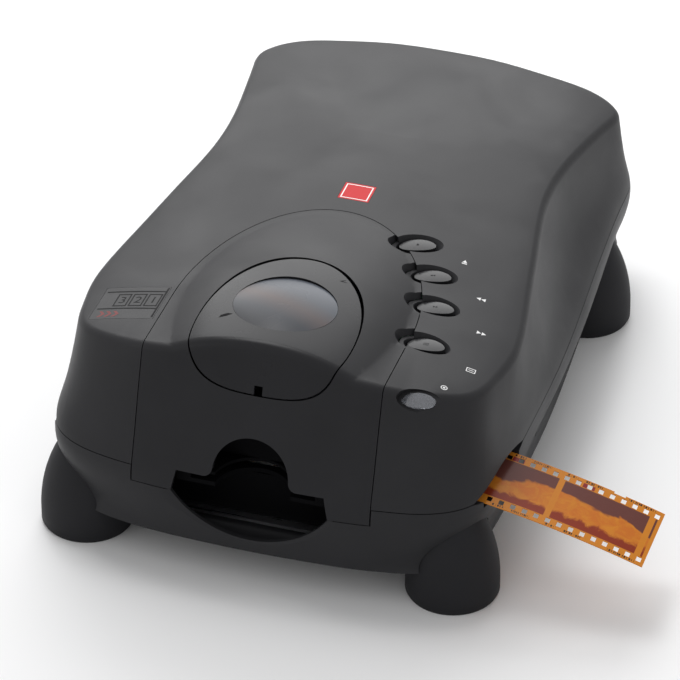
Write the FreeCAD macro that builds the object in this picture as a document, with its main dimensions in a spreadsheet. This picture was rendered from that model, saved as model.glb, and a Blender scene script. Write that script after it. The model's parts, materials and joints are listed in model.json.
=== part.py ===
import FreeCAD, Part
import functools
import math
import os
from FreeCAD import Vector

# Driving sizes, in millimetres and degrees
# The origin is on the ground below the middle of the casing, with the front towards -Y.

SIZES = {
    # Casing envelope
    "casing_width": 184.0,
    "casing_length": 262.0,
    "base_height": 16.0,
    "nose_height": 31.0,
    "seam_height": 46.4,
    "low_flank_height": 56.0,
    "mid_flank_height": 68.0,
    "crease_height": 86.0,
    "stack_top_height": 108.0,
    "crown_height": 97.0,
    "crown_radius": 288.0,
    "crown_fall": 4.0,
    "roof_half_width": 105.0,
    "nose_bulge": 2.1,
    "wall": 2.4,
    "floor_thickness": 2.4,
    "seam_gap": 0.35,
    "crease_round": 4.0,
    "ridge_round": 5.0,
    "overrun": 12.0,
    "join_tolerance": 0.01,
    # Raised dome of the front fascia
    "dome_centre_y": -75.0,
    "dome_centre_height": 44.0,
    "dome_half_width": 80.0,
    "dome_half_length": 145.0,
    "dome_rise": 60.0,
    # Shallow dish in the rear of the roof
    "dish_radius": 60.0,
    "dish_depth": 2.6,
    "dish_centre_y": 113.0,
    # Front fascia
    "fascia_half_width": 48.5,
    "fascia_arch_start_y": -75.0,
    "fascia_arch_depth": 70.0,
    "fascia_foot_height": 40.0,
    # Round cover over the well, and its window
    "cover_tilt": 35.0,
    "cover_half_width": 31.5,
    "cover_rear_reach": 37.5,
    "cover_front_reach": 27.6,
    "cover_corner_reach": 21.5,
    "cover_corner_half_width": 25.6,
    "cover_centre_y": -90.0,
    "cover_centre_height": 94.0,
    "cover_gap": 0.5,
    "cover_rear_gap": 0.95,
    "cover_thickness": 2.4,
    "cover_swing_gap": 0.5,
    "well_depth": 12.0,
    "well_wall": 1.6,
    "notch_width": 3.4,
    "notch_height": 3.4,
    "window_centre_y": -82.0,
    "window_half_width": 20.5,
    "window_half_length": 17.6,
    "window_radius": 66.0,
    "window_rise": 1.3,
    "window_gap": 0.12,
    "hinge_inset": 8.0,
    "hinge_drop": 5.2,
    "hinge_pin_radius": 0.8,
    "hinge_pin_length": 24.0,
    "knuckle_radius": 1.8,
    "knuckle_length": 5.0,
    "knuckle_gap": 0.4,
    # Front bay for mounted slides
    "bay_half_width": 32.0,
    "bay_top_height": 48.8,
    "bay_top_half_width": 30.0,
    "bay_dome_half_width": 15.4,
    "bay_dome_height": 66.5,
    "bay_fillet": 3.6,
    "bay_lip_radius": 38.6,
    "bay_lip_height": 22.4,
    "bay_facet_radius": 57.5,
    "bay_facet_height": 17.8,
    "bay_facet_depth": 3.0,
    # Oval keys in scooped recesses
    "recess_half_length": 10.4,
    "recess_half_width": 5.9,
    "recess_depth": 3.6,
    "recess_wall": 1.4,
    "recess_lean": 1.2,
    "key_half_length": 7.3,
    "key_half_width": 3.8,
    "key_gap": 0.3,
    "key_sink": 0.3,
    "key_crown": 0.9,
    "key_flange": 1.1,
    "key_flange_thickness": 1.2,
    "key_stem_radius": 2.0,
    "key_free_gap": 0.85,
    "eject_x": 34.1,
    "eject_y": -14.9,
    "eject_turn": 19.0,
    "reverse_x": 45.5,
    "reverse_y": -31.7,
    "reverse_turn": 12.0,
    "forward_x": 52.3,
    "forward_y": -50.6,
    "forward_turn": 6.5,
    "scan_x": 55.9,
    "scan_y": -75.0,
    "scan_turn": 3.0,
    "switch_side": 6.0,
    "switch_body": 3.5,
    "switch_plunger_radius": 1.7,
    "switch_plunger": 1.5,
    "key_board_height": 76.0,
    "board_thickness": 1.6,
    # Status lens on the ridge
    "lens_x": 61.6,
    "lens_y": -107.4,
    "lens_height": 88.6,
    "lens_tilt": 40.0,
    "lens_recess_half_length": 8.4,
    "lens_recess_half_width": 4.4,
    "lens_recess_depth": 2.2,
    "lens_half_length": 6.5,
    "lens_half_width": 3.0,
    "lens_rise": 1.7,
    "lens_gap": 0.1,
    "lens_stem": 4.0,
    # Badge and film label set into the roof
    "badge_width": 12.8,
    "badge_length": 11.4,
    "badge_centre_y": 9.4,
    "badge_thickness": 0.7,
    "label_width": 26.6,
    "label_length": 22.6,
    "label_centre_x": -64.0,
    "label_centre_y": -81.8,
    "label_thickness": 0.5,
    "inlay_gap": 0.12,
    # Feet
    "foot_x": 75.5,
    "foot_front_y": -105.0,
    "foot_rear_y": 90.0,
    "foot_radius": 18.6,
    "foot_height": 40.5,
    "foot_shoulder": 6.0,
    "foot_ogive_radius": 64.0,
    "foot_rim": 1.2,
    "foot_gap": 0.3,
    "foot_pocket_wall": 2.0,
    "foot_screw_recess_radius": 4.6,
    "foot_screw_head_height": 7.0,
    "foot_screw_length": 35.2,
    "screw_radius": 1.5,
    "screw_head_radius": 2.9,
    "screw_head": 2.2,
    "screw_gap": 0.08,
    # Casing columns and screws
    "column_radius": 4.0,
    "column_front_x": 76.0,
    "column_front_y": -50.0,
    "column_rear_x": 60.0,
    "column_rear_y": 68.0,
    "casing_screw_length": 38.0,
    "casing_screw_sink": 4.0,
    "lip_height": 2.6,
    "lip_thickness": 1.2,
    "lip_gap": 0.15,
    # Film, its guides and its side slots
    "film_width": 35.0,
    "film_length": 228.0,
    "film_thickness": 0.3,
    "film_tip_x": 151.0,
    "film_centre_y": -88.0,
    "film_arc_radius": 480.0,
    "gate_height": 52.3,
    "film_pitch": 4.75,
    "film_hole_length": 1.98,
    "film_hole_width": 2.8,
    "film_hole_edge": 2.01,
    "film_notch": 2.4,
    "film_slack": 0.45,
    "guide_thickness": 1.5,
    "guide_half_length": 81.5,
    "guide_rail": 2.0,
    "guide_rail_gap": 0.6,
    "gate_half_width": 18.5,
    "gate_half_length": 12.5,
    "slot_length": 47.0,
    "slot_centre_y": -88.0,
    "slot_drop": 3.6,
    "slot_rise": 4.6,
    "slot_sill_drop": 4.2,
    # Slide tray behind the front bay
    "tray_half_width": 31.0,
    "tray_front_y": -123.6,
    "tray_back_y": -61.2,
    "tray_floor_height": 41.6,
    "slide_side": 50.6,
    "slide_gap": 3.4,
    "tray_plate": 2.0,
    "tray_roof": 1.4,
    "tray_notch_half_width": 15.4,
    "tray_notch_depth": 14.0,
    "tray_window_half_side": 19.0,
    # Roller frames, rollers and gears
    "frame_thickness": 1.6,
    "frame_clear": 0.3,
    "frame_half_width": 52.0,
    "frame_height": 61.0,
    "frame_window_gap": 0.25,
    "roller_radius": 6.0,
    "roller_width": 5.0,
    "roller_offset": 13.0,
    "roller_nip": 0.15,
    "shaft_radius": 1.5,
    "shaft_gap": 0.05,
    "tyre_thickness": 1.6,
    "pinch_radius": 4.0,
    "pinch_shaft_radius": 1.0,
    "gear_module": 1.0,
    "pinion_teeth": 15.0,
    "idler_teeth": 30.0,
    "gear_width": 4.6,
    "gear_front_y": -60.4,
    "gear_backlash": 0.36,
    "gear_bore_gap": 0.05,
    "idler_stud_radius": 2.0,
    # Stepper motor and its bracket
    "motor_side": 28.0,
    "motor_length": 26.0,
    "motor_corner": 3.0,
    "motor_shaft_radius": 2.0,
    "motor_boss_radius": 6.0,
    "motor_boss": 1.2,
    "bracket_thickness": 1.6,
    "bracket_gap": 1.2,
    "bracket_half_width": 28.0,
    "bracket_foot": 9.0,
    "stud_head": 0.5,
    # Chassis plate
    "chassis_height": 19.6,
    "chassis_thickness": 1.4,
    "chassis_half_width": 54.0,
    "chassis_front_y": -114.0,
    "chassis_rear_y": 120.0,
    "chassis_boss_radius": 5.0,
    # Light source below the gate
    "lamp_half_width": 24.0,
    "lamp_half_length": 17.0,
    "lamp_wall": 1.6,
    "lamp_top_height": 40.8,
    "lamp_board": 1.6,
    "diffuser_thickness": 2.0,
    "led_side": 3.0,
    "led_height": 0.9,
    "led_pitch": 7.0,
    # Optics bench, mirror, lens and line sensor
    "bench_thickness": 1.6,
    "bench_half_width": 30.0,
    "bench_front_y": -113.0,
    "bench_rear_y": 8.0,
    "bench_gap": 0.2,
    "bench_post_x": 26.0,
    "bench_post_y": -6.0,
    "bench_post_radius": 3.0,
    "optic_height": 73.0,
    "mirror_side": 24.0,
    "mirror_half_width": 16.0,
    "mirror_thickness": 2.0,
    "mirror_cheek": 1.6,
    "barrel_radius": 8.0,
    "barrel_front_y": -64.0,
    "barrel_rear_y": -30.0,
    "barrel_wall": 1.6,
    "glass_radius": 14.0,
    "mount_half_width": 12.0,
    "mount_length": 12.0,
    "mount_centre_y": -46.0,
    "sensor_board_y": 0.0,
    "sensor_board_half_width": 27.0,
    "sensor_board_top_height": 85.0,
    "sensor_half_width": 21.0,
    "sensor_half_height": 4.0,
    "sensor_thickness": 2.6,
    # Main board and rear fittings
    "main_board_height": 28.0,
    "main_board_half_width": 50.0,
    "main_board_front_y": 18.0,
    "main_board_rear_y": 114.0,
    "spacer_radius": 3.0,
    "spacer_inset": 5.0,
    "board_screw_length": 7.0,
    "chip_side": 20.0,
    "chip_height": 1.6,
    "capacitor_radius": 5.0,
    "capacitor_height": 12.0,
    "port_x": -36.0,
    "port_width": 12.0,
    "port_height": 10.8,
    "port_wall": 0.8,
    "inlet_x": -12.0,
    "inlet_width": 10.0,
    "inlet_height": 11.0,
    "inlet_bore_radius": 3.2,
    "inlet_pin_radius": 1.0,
    "fitting_gap": 0.25,
    "fitting_front_y": 110.0,
    "fitting_rear_y": 133.2,
    "rocker_x": 26.0,
    "rocker_rear_y": 133.9,
    "rocker_width": 9.0,
    "rocker_height": 13.0,
    "rocker_centre_height": 32.0,
    "rocker_radius": 9.0,
    "rocker_pivot_depth": 6.0,
    "rocker_pin_radius": 1.2,
    "rocker_bezel": 1.6,
    "rocker_bezel_proud": 1.0,
    "rocker_housing_depth": 17.0,
    # Vent slits in the sides of the lower casing
    "vent_width": 1.3,
    "vent_height": 9.0,
    "vent_front_y": -26.5,
    "vent_rear_y": 9.0,
    "vent_centre_height": 25.5,
    "vent_lean": 20.0,
}

# Outlines of the casing, from the middle of the front round the right side to the middle of the rear
# Each point is a share of half the casing's width and of half its length.

SEAM_OUTLINE_SHARES = [
    (0, -0.983), (0.261, -0.979), (0.526, -0.966), (0.652, -0.952), (0.811, -0.916), (0.908, -0.863),
    (0.957, -0.798), (0.980, -0.702), (0.996, -0.489), (1, -0.305), (1, -0.130), (0.987, 0.107),
    (0.965, 0.336), (0.950, 0.489), (0.937, 0.649), (0.929, 0.802), (0.926, 0.901), (0.897, 0.969),
    (0.804, 1.002), (0.543, 1.015), (0.261, 1.021), (0, 1.023),
]
CREASE_OUTLINE_SHARES = [
    (0, -0.880), (0.261, -0.878), (0.527, -0.865), (0.652, -0.836), (0.772, -0.789), (0.850, -0.740),
    (0.898, -0.676), (0.922, -0.595), (0.943, -0.458), (0.930, -0.359), (0.878, -0.145), (0.824, 0.076),
    (0.778, 0.275), (0.770, 0.427), (0.789, 0.588), (0.818, 0.733), (0.842, 0.840), (0.846, 0.930),
    (0.765, 0.985), (0.520, 1.000), (0.261, 1.008), (0, 1.008),
]
SCOOP_SHARES = [0, 0, 0, 0, 0.1, 0.2, 0.3, 0.4, 0.3, 0.3, 0.5, 0.8, 1, 1, 0.8, 0.5, 0.3, 0.2, 0.1, 0, 0, 0]
BASE_TUCK_SHARES = (0.053, 0.010)
SCOOP_ABOVE_SHARE = 0.8
OUTLINE_CORNERS = (3, 17, 25, 39)

# Roof stations: place along half the length, and arch radius and fall as shares of their full sizes
ROOF_STATION_SHARES = [
    (-1.15, 1, 0), (-0.45, 1, 0), (0.10, 1, 0), (0.40, 0.97, 0), (0.62, 0.92, 0.15), (0.82, 0.88, 0.45),
    (1.06, 0.85, 1.15),
]

# Stations across the roof's dish as shares of its radius, and the least half chord's square as a share
DISH_STATION_SHARES = (-1.15, -0.97, -0.8, -0.55, -0.3, -0.05, 0.2, 0.42)
DISH_LEAST_SHARE = 1 / 16

KEYS = ("eject", "reverse", "forward", "scan")
SIDES = (("left", -1), ("right", 1))

doc = FreeCAD.newDocument("FilmScanner")
sheet = doc.addObject("Spreadsheet::Sheet", "Sizes")
for row, (alias, value) in enumerate(SIZES.items(), start=1):
    sheet.set("A%d" % row, alias)
    sheet.set("B%d" % row, repr(value))
    sheet.setAlias("B%d" % row, alias)
doc.recompute()


class Sizes:
    """Reads the driving sizes back from the sheet as plain numbers."""

    def __getattr__(self, alias):
        return float(sheet.get(alias))


s = Sizes()
nodes = []


def node(label, obj):
    """Names an object of the document as one sub-part."""
    obj.Label = label
    nodes.append(obj)
    return obj


def shaped(label, shape, at=None):
    """A sub-part whose form is set by code from the sheet's sizes."""
    obj = doc.addObject("Part::Feature", label + "_form")
    obj.Shape = shape.Solids[0] if len(shape.Solids) == 1 else Part.makeCompound(shape.Solids)
    if at is not None:
        obj.Placement = at
    return node(label, obj)


def formula(text):
    """Turns {alias} into the sheet's cell of that name."""
    return text.replace("{", "Sizes.").replace("}", "")


def bind(obj, **cells):
    for prop, text in cells.items():
        obj.setExpression(prop.replace("__", "."), formula(text))
    return obj


def box(width, length, height, x="0", y="0", z="0"):
    """A block centred on x and y that stands on z; every size is a formula on the sheet."""
    obj = doc.addObject("Part::Box", "Block")
    bind(obj, Length=width, Width=length, Height=height)
    bind(obj, Placement__Base__x="(%s) - (%s) / 2" % (x, width))
    bind(obj, Placement__Base__y="(%s) - (%s) / 2" % (y, length))
    return bind(obj, Placement__Base__z=z)


TURNS = {
    "Z": FreeCAD.Rotation(Vector(0, 0, 1), 0),
    "Y": FreeCAD.Rotation(Vector(1, 0, 0), -90),
    "X": FreeCAD.Rotation(Vector(0, 1, 0), 90),
}


def rod(radius, length, axis="Z", x="0", y="0", z="0"):
    """A cylinder that starts at x, y, z and runs along the named axis."""
    obj = doc.addObject("Part::Cylinder", "Rod")
    obj.Placement = FreeCAD.Placement(Vector(0, 0, 0), TURNS[axis])
    bind(obj, Radius=radius, Height=length)
    return bind(obj, Placement__Base__x=x, Placement__Base__y=y, Placement__Base__z=z)


def joined(parts):
    """Several touching objects fused into one."""
    obj = doc.addObject("Part::MultiFuse", "Joined")
    obj.Shapes = parts
    obj.Refine = True
    return obj


def without(base, tools):
    """The base object less the tools."""
    obj = doc.addObject("Part::Cut", "Trimmed")
    obj.Base = base
    obj.Tool = tools[0] if len(tools) == 1 else joined(tools)
    return obj


def group(parts):
    """Separate solids that share one node."""
    obj = doc.addObject("Part::Compound", "Group")
    obj.Links = parts
    return obj


def block(x0, x1, y0, y1, z0, z1):
    return Part.makeBox(x1 - x0, y1 - y0, z1 - z0, Vector(x0, y0, z0))


def post(radius, x, y, z0, z1):
    return Part.makeCylinder(radius, z1 - z0, Vector(x, y, z0), Vector(0, 0, 1))


def fused(shapes):
    return shapes[0].fuse(shapes[1:]) if len(shapes) > 1 else shapes[0]


# Casing surfaces, shared by every shell and by all that is let into them

def outline(height):
    """Right half of the casing's plan at a height, as points."""
    half_width = s.casing_width / 2
    half_length = s.casing_length / 2
    points = []
    for (sx, sy), (cx, cy), scoop in zip(SEAM_OUTLINE_SHARES, CREASE_OUTLINE_SHARES, SCOOP_SHARES):
        if height <= s.seam_height:
            down = (s.seam_height - height) / (s.seam_height - s.base_height)
            bulge = s.nose_bulge / half_length * math.sin(math.pi * down) * (1 - sx * sx) ** 2
            x_share = sx * (1 - BASE_TUCK_SHARES[0] * down)
            y_share = sy * (1 - BASE_TUCK_SHARES[1] * down) - (bulge if sy < 0 else 0)
        else:
            up = (s.crease_height - height) / (s.crease_height - s.seam_height)
            if up >= 0:
                blend = up ** (1 + scoop)
            else:
                blend = up * (1 - SCOOP_ABOVE_SHARE * min(1, 2 * scoop))
            x_share = cx + (sx - cx) * blend
            y_share = cy + (sy - cy) * blend
        points.append((x_share * half_width, y_share * half_length))
    return points


def section(height, inset):
    """Closed plan at a height, moved inwards by inset, as four smooth edges."""
    half = outline(height)
    ring = half + [(-x, y) for x, y in half[-2:0:-1]]
    count = len(ring)
    points = []
    for i, (x, y) in enumerate(ring):
        x0, y0 = ring[i - 1]
        x1, y1 = ring[(i + 1) % count]
        run = math.hypot(x1 - x0, y1 - y0)
        points.append(Vector(x - inset * (y1 - y0) / run, y + inset * (x1 - x0) / run, height))
    first = OUTLINE_CORNERS[0]
    curve = Part.BSplineCurve()
    curve.interpolate(Points=points[first:] + points[:first], PeriodicFlag=True)
    knots = curve.getKnots()
    stops = [corner - first for corner in OUTLINE_CORNERS] + [count]
    edges = []
    for start, stop in zip(stops, stops[1:]):
        piece = curve.copy()
        piece.segment(knots[start], knots[stop])
        edges.append(piece.toShape())
    return Part.Wire(edges)


def flanks(inset):
    """The casing's sides, front and rear as one tall solid."""
    heights = (s.base_height, s.nose_height, s.seam_height, s.low_flank_height,
               s.mid_flank_height, s.crease_height, s.stack_top_height)
    return Part.makeLoft([section(height, inset) for height in heights], True, False)


def roof(inset):
    """Everything below the arched roof, whose arch tightens and falls towards the rear."""
    reach = s.roof_half_width
    wires = []
    for y_share, radius_share, fall_share in ROOF_STATION_SHARES:
        y = y_share * s.casing_length / 2
        top = s.crown_height - s.crown_fall * fall_share - inset
        radius = s.crown_radius * radius_share - inset
        edge = top - radius + math.sqrt(radius ** 2 - reach ** 2)
        left, right, crown = Vector(-reach, y, edge), Vector(reach, y, edge), Vector(0, y, top)
        low_left, low_right = Vector(-reach, y, 0), Vector(reach, y, 0)
        wires.append(Part.Wire([Part.Arc(left, crown, right).toShape(), Part.makeLine(right, low_right),
                                Part.makeLine(low_right, low_left), Part.makeLine(low_left, left)]))
    return Part.makeLoft(wires, True, False)


def dome(inset):
    """The raised nose of the fascia, an ellipsoid."""
    stretch = FreeCAD.Matrix()
    stretch.scale(s.dome_half_width - inset, s.dome_half_length - inset, s.dome_rise - inset)
    stretch.move(Vector(0, s.dome_centre_y, s.dome_centre_height))
    return Part.makeSphere(1.0).transformGeometry(stretch)


def roof_height(whole, x, y):
    """Height of a roof above a place on the plan."""
    probe = Part.makeLine(Vector(x, y, 0), Vector(x, y, s.stack_top_height))
    return probe.common(whole).BoundBox.ZMax


def dish(inset):
    """Cutter for the shallow round dish: each arch of it meets the roof on the dish's circle."""
    whole = roof(0)
    reach = s.roof_half_width
    wires = []
    for share in DISH_STATION_SHARES:
        y = s.dish_centre_y + share * s.dish_radius
        half_share = math.sqrt(max(1 - share ** 2, DISH_LEAST_SHARE))
        half = s.dish_radius * half_share
        edge = roof_height(whole, half, y) - s.dish_depth * (1 - share ** 2 - half_share ** 2)
        middle = roof_height(whole, 0, y) - s.dish_depth * (1 - share ** 2)
        sag = middle - edge
        radius = (half ** 2 + sag ** 2) / (2 * sag)
        rim = middle - radius + math.sqrt(radius ** 2 - reach ** 2)
        high = s.crown_height + s.overrun
        left, right = Vector(-reach, y, rim), Vector(reach, y, rim)
        high_left, high_right = Vector(-reach, y, high), Vector(reach, y, high)
        wires.append(Part.Wire([Part.Arc(left, Vector(0, y, middle), right).toShape(),
                                Part.makeLine(right, high_right), Part.makeLine(high_right, high_left),
                                Part.makeLine(high_left, left)]))
    cutter = Part.makeLoft(wires, True, False)
    cutter.translate(Vector(0, 0, -inset))
    return cutter


def largest(shape):
    return max(shape.Solids, key=lambda solid: solid.Volume)


def outer_body():
    """The whole casing's outer form, with its creases and ridge rounded."""
    sides = flanks(0)
    low = s.seam_height
    plain = largest(sides.common(roof(0)))
    creases = [e for e in plain.Edges if e.BoundBox.ZMin > low and e.Length > s.crown_height / 2
               and e.BoundBox.ZMax - e.BoundBox.ZMin < s.crown_height / 2]
    plain = largest(plain.makeFillet(s.crease_round, creases))
    nose = largest(sides.common(dome(0)))
    ridge = [e for e in nose.Edges if e.BoundBox.ZMax > s.crown_height and e.BoundBox.ZMin > low
             and e.BoundBox.XMin < 0 < e.BoundBox.XMax and e.BoundBox.YMax < s.fascia_arch_start_y]
    nose = largest(nose.makeFillet(s.ridge_round, ridge))
    return largest(largest(plain.fuse([nose], s.join_tolerance)).cut(dish(0)))


@functools.lru_cache(maxsize=None)
def inner_body(inset):
    """The same form moved inwards, without the roundings."""
    sides = flanks(inset)
    whole = largest(sides.common(roof(inset)).fuse([sides.common(dome(inset))], s.join_tolerance))
    return largest(whole.cut(dish(inset)))


OUTER = outer_body()
INNER = inner_body(s.wall)
SHELL = largest(OUTER.cut(INNER))
FAR = s.casing_length
TALL = s.stack_top_height + s.overrun


def keyhole(grow):
    """Upright prism of the fascia's keyhole outline, moved outwards by grow."""
    reach = s.fascia_half_width + grow
    start = s.fascia_arch_start_y
    top = start + s.fascia_arch_depth + grow
    arch = Part.Ellipse(Vector(0, top, 0), Vector(reach, start, 0), Vector(0, start, 0))
    if reach > top - start:
        arch = Part.Ellipse(Vector(reach, start, 0), Vector(0, top, 0), Vector(0, start, 0))
    upper = Part.Face(Part.Wire([arch.toShape()])).extrude(Vector(0, 0, TALL))
    return upper.fuse(block(-reach, reach, -FAR, start, 0, TALL)).removeSplitter()


def tilted(shape):
    """Moves a form drawn on the cover's own plane to its place over the nose."""
    turn = FreeCAD.Rotation(Vector(1, 0, 0), s.cover_tilt)
    shape.Placement = FreeCAD.Placement(Vector(0, s.cover_centre_y, s.cover_centre_height), turn)
    return shape


def cover_prism(grow, grow_rear, low, high, swing=0.0):
    """Prism of the round cover's outline along its tilted axis; swing widens its rear corners."""
    side = s.cover_half_width + grow
    rear = s.cover_rear_reach + grow_rear
    front = s.cover_front_reach + grow
    corner_x = s.cover_corner_half_width + grow
    corner_y = s.cover_corner_reach + grow
    bow = side / math.sqrt(2) + swing
    rear_bow = rear / math.sqrt(2) + swing
    points = [Vector(0, rear, low), Vector(-bow, rear_bow, low), Vector(-side, 0, low),
              Vector(-corner_x, -corner_y, low), Vector(0, -front, low), Vector(corner_x, -corner_y, low),
              Vector(side, 0, low), Vector(bow, rear_bow, low)]
    curve = Part.BSplineCurve()
    curve.interpolate(Points=points, PeriodicFlag=True)
    face = Part.Face(Part.Wire([curve.toShape()]))
    return tilted(face.extrude(Vector(0, 0, high - low)))


def oval(half_length, half_width, turn=0.0, x=0.0, y=0.0, z=0.0):
    """Closed ellipse, longer along x before it is turned about the vertical."""
    ring = Part.Ellipse(Vector(half_length, 0, 0), Vector(0, half_width, 0), Vector(0, 0, 0)).toShape()
    ring.rotate(Vector(0, 0, 0), Vector(0, 0, 1), turn)
    ring.translate(Vector(x, y, z))
    return Part.Wire([ring])


def oval_post(half_length, half_width, turn, x, y, z0, z1):
    return Part.Face(oval(half_length, half_width, turn, x, y, z0)).extrude(Vector(0, 0, z1 - z0))


def surface_height(x, y):
    """Height of the casing's top above a place on the plan."""
    line = Part.makeLine(Vector(x, y, s.seam_height), Vector(x, y, TALL))
    return line.common(OUTER).BoundBox.ZMax


def recess_bottom(key):
    """Height and place of the bottom oval of a key's recess."""
    x, y, turn = (getattr(s, key + part) for part in ("_x", "_y", "_turn"))
    lean_x = x - s.recess_lean * math.cos(math.radians(turn))
    lean_y = y - s.recess_lean * math.sin(math.radians(turn))
    return lean_x, lean_y, surface_height(x, y) - s.recess_depth, turn


def recess(key, grow, drop):
    """Scooped oval recess of a key: a cone that leans towards its left end."""
    x, y, turn = (getattr(s, key + part) for part in ("_x", "_y", "_turn"))
    low_x, low_y, low, _ = recess_bottom(key)
    hole_length = s.key_half_length + s.key_gap + grow
    hole_width = s.key_half_width + s.key_gap + grow
    high = low + 2 * s.recess_depth
    ratio = (high - low) / s.recess_depth
    top_length = hole_length + (s.recess_half_length + grow - hole_length) * ratio
    top_width = hole_width + (s.recess_half_width + grow - hole_width) * ratio
    lean = s.recess_lean * ratio
    top_x = low_x + lean * math.cos(math.radians(turn))
    top_y = low_y + lean * math.sin(math.radians(turn))
    cone = Part.makeLoft([oval(hole_length, hole_width, turn, low_x, low_y, low),
                          oval(top_length, top_width, turn, top_x, top_y, high)], True, True)
    if drop:
        cone = cone.fuse(oval_post(hole_length, hole_width, turn, low_x, low_y, low - drop, low))
    return cone


def cup(key):
    """Wall that hangs under the casing round a key's recess."""
    low_x, low_y, low, turn = recess_bottom(key)
    body = recess(key, s.recess_wall, s.recess_wall)
    return largest(body.common(INNER))


def bay_cutter():
    """Front opening: a wide slot with a finger dome above it and a round lip below."""
    half, top = s.bay_half_width, s.bay_top_height
    dome_half, dome_top = s.bay_dome_half_width, s.bay_dome_height
    fillet = s.bay_fillet
    lip_centre = s.bay_lip_height + s.bay_lip_radius
    side_z = lip_centre - math.sqrt(s.bay_lip_radius ** 2 - half ** 2)
    bow = math.sqrt(0.5)

    def at(x, z):
        return Vector(x, 0, z)

    def arc(a, b, c):
        return Part.Arc(a, b, c).toShape()

    edges = [
        arc(at(-half, side_z), at(0, s.bay_lip_height), at(half, side_z)),
        Part.makeLine(at(half, side_z), at(s.bay_top_half_width, top)),
        Part.makeLine(at(s.bay_top_half_width, top), at(dome_half + fillet, top)),
        arc(at(dome_half + fillet, top), at(dome_half + fillet * (1 - bow), top + fillet * (1 - bow)),
            at(dome_half, top + fillet)),
        arc(at(dome_half, top + fillet), at(0, dome_top), at(-dome_half, top + fillet)),
        arc(at(-dome_half, top + fillet), at(-dome_half - fillet * (1 - bow), top + fillet * (1 - bow)),
            at(-dome_half - fillet, top)),
        Part.makeLine(at(-dome_half - fillet, top), at(-s.bay_top_half_width, top)),
        Part.makeLine(at(-s.bay_top_half_width, top), at(-half, side_z)),
    ]
    face = Part.Face(Part.Wire(edges))
    face.translate(Vector(0, -s.casing_length / 2 - s.overrun, 0))
    return face.extrude(Vector(0, 2 * s.overrun, 0))


def bay_facet():
    """Shallow crescent bevel round the bay's lower lip."""
    front = -s.casing_length / 2 - s.seam_gap
    rings = []
    for radius, low, y in ((s.bay_facet_radius, s.bay_facet_height, front),
                           (s.bay_lip_radius, s.bay_lip_height, front + s.bay_facet_depth)):
        rings.append(Part.Wire([Part.Circle(Vector(0, y, low + radius), Vector(0, 1, 0), radius).toShape()]))
    cone = Part.makeLoft(rings, True, True)
    outer = Part.makeCylinder(s.bay_facet_radius, s.overrun,
                              Vector(0, front - s.overrun, s.bay_facet_height + s.bay_facet_radius),
                              Vector(0, 1, 0))
    return cone.fuse(outer)


def guide_half_width():
    return s.film_width / 2 + s.guide_rail_gap + s.guide_rail


def side_slots():
    """Film slots through both sides: pointed at the ends and arched above the seam."""
    half = s.slot_length / 2
    low, high, seam = s.seam_height - s.slot_drop, s.seam_height + s.slot_rise, s.seam_height
    y = s.slot_centre_y
    upper = Part.Arc(Vector(0, y - half, seam), Vector(0, y, high), Vector(0, y + half, seam)).toShape()
    lower = Part.Arc(Vector(0, y + half, seam), Vector(0, y, low), Vector(0, y - half, seam)).toShape()
    face = Part.Face(Part.Wire([upper, lower]))
    face.translate(Vector(-s.casing_width, 0, 0))
    slab = face.extrude(Vector(2 * s.casing_width, 0, 0))
    reach = guide_half_width() - s.guide_rail
    sill = block(-s.casing_width, s.casing_width, y - reach, y + reach, seam - s.slot_sill_drop, seam)
    slab = slab.fuse(sill)
    middle = s.guide_half_length - s.overrun
    return slab.cut(block(-middle, middle, -FAR, FAR, 0, TALL))


def foot_profile(grow, cap):
    """Half profile of a foot, an ogive with a flat top, moved outwards by grow."""
    radius, rim = s.foot_radius + grow, s.foot_rim
    centre_x = radius - s.foot_ogive_radius - grow
    bulge = s.foot_ogive_radius + grow
    shoulder, top = s.foot_shoulder, s.foot_height + cap
    middle = (shoulder + top) / 2

    def on_arc(height):
        return Vector(centre_x + math.sqrt(bulge ** 2 - (height - shoulder) ** 2), 0, height)

    arc = Part.Arc(on_arc(shoulder), on_arc(middle), on_arc(top)).toShape()
    start, end = on_arc(shoulder), on_arc(top)
    edges = [Part.makeLine(Vector(0, 0, 0), Vector(radius - rim / 2, 0, 0)),
             Part.makeLine(Vector(radius - rim / 2, 0, 0), Vector(start.x, 0, rim)),
             Part.makeLine(Vector(start.x, 0, rim), start), arc,
             Part.makeLine(end, Vector(0, 0, top)), Part.makeLine(Vector(0, 0, top), Vector(0, 0, 0))]
    return Part.Face(Part.Wire(edges)).revolve(Vector(0, 0, 0), Vector(0, 0, 1), 360)


def foot_places():
    return [("%s_%s" % (end, side), sign * s.foot_x, y)
            for end, y in (("front", s.foot_front_y), ("rear", s.foot_rear_y)) for side, sign in SIDES]


def column_places():
    return [(sign * x, y) for x, y in ((s.column_front_x, s.column_front_y), (s.column_rear_x, s.column_rear_y))
            for sign in (-1, 1)]


def board_posts():
    """Places of the main board's four spacers."""
    half = s.main_board_half_width - s.spacer_inset
    front, rear = s.main_board_front_y + s.spacer_inset, s.main_board_rear_y - s.spacer_inset
    return [(x, y) for y in (front, rear) for x in (-half, half)]


def chassis_posts():
    """Places where the chassis plate rests on the lower casing."""
    half = s.chassis_half_width - s.chassis_boss_radius
    rear = s.chassis_rear_y - s.chassis_boss_radius
    return [(x, y) for y in (s.column_front_y, rear) for x in (-half, half)]


def casing_screw_seat():
    return s.base_height + s.casing_screw_sink + s.screw_head


BAY = bay_cutter()
SLOTS = side_slots()
FLOOR_TOP = s.base_height + s.floor_thickness
FITTINGS = (("port", s.port_x, s.port_width, s.port_height), ("inlet", s.inlet_x, s.inlet_width, s.inlet_height))


def fitting_low():
    return s.main_board_height + s.board_thickness


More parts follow.
